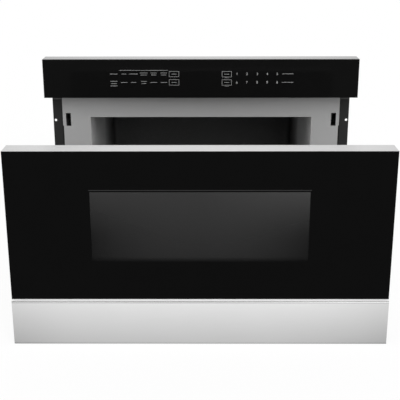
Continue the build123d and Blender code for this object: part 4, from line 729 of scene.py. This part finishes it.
# How far the screws stand from the edges of what they hold. backRim and backEnd are from the back
# panel's edges, sideFront, sideBack and sideFoot from the case's, and doorSide and doorEnd from the
# choke panel's. topX is from the middle.
screwRows = {"backRim": 9 * mm, "backEnd": 36 * mm, "backCount": 5,
             "sideFront": (24 * mm, 290 * mm), "sideBack": 18 * mm, "sideFoot": 10 * mm,
             "topX": (-200 * mm, 0.0, 200 * mm),
             "doorSide": 12 * mm, "doorEnd": 14 * mm, "doorCount": 4}


def spread(low, high, inset, count):
    # count places from inset above low to inset below high
    return np.linspace(low + inset, high - inset, count)


rows = screwRows
caseLow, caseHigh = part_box("outer_case")
backLow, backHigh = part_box("back_panel")
panelLow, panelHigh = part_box("choke_panel")
sideRows = [caseLow[1] + back for back in rows["sideFront"]] + [caseHigh[1] - rows["sideBack"]]
backPlaces = [(x, backHigh[1], z) for z in spread(backLow[2], backHigh[2], rows["backRim"], 2)
              for x in spread(backLow[0], backHigh[0], rows["backEnd"], rows["backCount"])]
doorPlaces = [(x, panelHigh[1], z)
              for x in spread(panelLow[0], panelHigh[0], rows["doorSide"], 2)
              for z in spread(panelLow[2], panelHigh[2], rows["doorEnd"], rows["doorCount"])]
topPlaces = [(x, y, caseHigh[2]) for y in sideRows[::2] for x in rows["topX"]]
leftPlaces, rightPlaces = [[(x, y, rows["sideFoot"]) for y in sideRows]
                           for x in (caseLow[0], caseHigh[0])]
groups = {
    "backScrews": (backPlaces, (0, 1, 0), "chassis"),
    "topScrews": (topPlaces, (0, 0, 1), "chassis"),
    "leftScrews": (leftPlaces, (-1, 0, 0), "chassis"),
    "rightScrews": (rightPlaces, (1, 0, 0), "chassis"),
    "frontScrews": (doorPlaces, (0, 1, 0), "drawer"),
}
screwPlating = platedSteel("screwPlating", 196)
for name, (places, outward, body) in groups.items():
    points, faces = placeScrews(places, outward)
    addPiece(name, points, faces, screwPlating, body)
print("screws", sum(len(places) for places, outward, body in groups.values()))

# The floor, a board in the place of the cabinet's deck, and the light of the surroundings.
stage = {"floorGap": 0.6 * mm, "floorHalf": 8.0, "floorTones": (253, 255), "grain": 50 * mm,
         "whiteShare": 0.88, "ambient": 0.3, "deckRound": 2 * mm, "deckGap": 0.3 * mm,
         "deckSide": 2 * mm, "deckFront": 6 * mm, "deckBack": 5 * mm}


def directRays(f):
    # 1 for what the camera sees directly, in shiny surfaces or through glass, and otherwise 0
    rays = f.node("LightPath").outputs
    seen = f.maths("MAXIMUM", rays["Is Camera Ray"], rays["Is Glossy Ray"])
    return f.maths("MAXIMUM", seen, rays["Is Transmission Ray"])


def paleFloor(name):
    # seen directly it is white by whiteShare, and the rest shows the shadows
    f = newFinish(name)
    dark, pale = stage["floorTones"]
    grain = f.noise(stage["grain"], detail=2)
    matt = f.node("BsdfDiffuse", inputs={"Color": f.mix(grain, neutral(dark), neutral(pale))})
    glow = f.node("Emission", inputs={"Color": white, "Strength": 1.0})
    mixed = f.node("MixShader", inputs={
        0: directRays(f) * stage["whiteShare"], 1: matt.outputs[0], 2: glow.outputs[0]})
    f.feed(f.tree.nodes["Material Output"].inputs["Surface"], mixed.outputs[0])
    return f.owner


def addStage(name, corners, faces, finish):
    # a plain mesh that belongs to the studio and isn't part of the object
    mesh = bpy.data.meshes.new(name)
    mesh.from_pydata(corners, [], faces)
    mesh.materials.append(finish)
    made = bpy.data.objects.new(name, mesh)
    bpy.context.scene.collection.objects.link(made)
    return made


half, z = stage["floorHalf"], cadBox[0][2] - stage["floorGap"]
addStage("floor", [(-half, -half, z), (half, -half, z), (half, half, z), (-half, half, z)],
         [(0, 1, 2, 3)], paleFloor("paleFloor"))

sides = (caseLow[0] + stage["deckSide"], caseHigh[0] - stage["deckSide"])
depths = (caseLow[1] + stage["deckFront"], caseHigh[1] + stage["deckBack"])
heights = (z, caseLow[2] - stage["deckGap"])
corners = [(x, y, level) for x in sides for y in depths for level in heights]
deck = addStage("deck", corners, [(0, 1, 3, 2), (4, 6, 7, 5), (0, 4, 5, 1), (2, 3, 7, 6),
                                  (0, 2, 6, 4), (1, 5, 7, 3)],
                paintedSteel("deckBoard", 236, 0.6, mottle=3, peel=0.05))
bevel = deck.modifiers.new("rounding", "BEVEL")
bevel.width, bevel.segments = stage["deckRound"], 3

world = bpy.data.worlds.new("studio")
bpy.context.scene.world = world
w = Finish(world)
backdrop = w.node("Background", inputs={"Color": white, "Strength": 1.0})
ambient = w.node("Background", inputs={"Color": white, "Strength": stage["ambient"]})
sky = w.node("MixShader", inputs={
    0: directRays(w), 1: ambient.outputs[0], 2: backdrop.outputs[0]})
w.feed(w.tree.nodes["World Output"].inputs["Surface"], sky.outputs[0])

# Wide soft lights: where each comes from, how many degrees of the sky it fills, how bright it is,
# and whether it shows in shiny surfaces.
lamps = {
    "keyLight": {"from": (0.25, -1.0, 0.62), "spread": 50, "power": 1.9, "glints": True},
    "fillLight": {"from": (-0.6, -1.0, 0.3), "spread": 80, "power": 0.35, "glints": True},
    "topLight": {"from": (0.0, 0.05, 1.0), "spread": 110, "power": 1.15, "glints": False},
}
for name, lamp in lamps.items():
    light = bpy.data.lights.new(name, "SUN")
    light.angle, light.energy = math.radians(lamp["spread"]), lamp["power"]
    holder = bpy.data.objects.new(name, light)
    holder.rotation_euler = (-Vector(lamp["from"])).to_track_quat("-Z", "Y").to_euler()
    holder.visible_glossy = lamp["glints"]
    bpy.context.scene.collection.objects.link(holder)

# The camera stands where the corners of the fronts and the plate fit the photograph. Its place is
# in metres, its turns are in degrees, and focal is in pixels of the image.
cameraFit = {"at": (0.0068, -1.6965, 0.6450), "down": 18.18, "yaw": -0.300, "roll": -0.108,
             "focal": 866.3, "imageWidth": 400, "sensor": 36.0}
down, yaw, roll = (math.radians(cameraFit[key]) for key in ("down", "yaw", "roll"))
forward = Vector((math.sin(yaw) * math.cos(down), math.cos(yaw) * math.cos(down), -math.sin(down)))
right = forward.cross(Vector((0, 0, 1))).normalized()
up = right.cross(forward)
rolledRight = right * math.cos(roll) + up * math.sin(roll)
rolledUp = up * math.cos(roll) - right * math.sin(roll)
lens = bpy.data.cameras.new("camera")
lens.sensor_width = cameraFit["sensor"]
lens.lens = cameraFit["focal"] / cameraFit["imageWidth"] * cameraFit["sensor"]
camera = bpy.data.objects.new("camera", lens)
turn = Matrix((rolledRight, rolledUp, -forward)).transposed()
camera.matrix_world = Matrix.Translation(Vector(cameraFit["at"])) @ turn.to_4x4()
bpy.context.scene.collection.objects.link(camera)
bpy.context.scene.camera = camera
bpy.context.scene.view_settings.view_transform = "Standard"
print("studio ready")
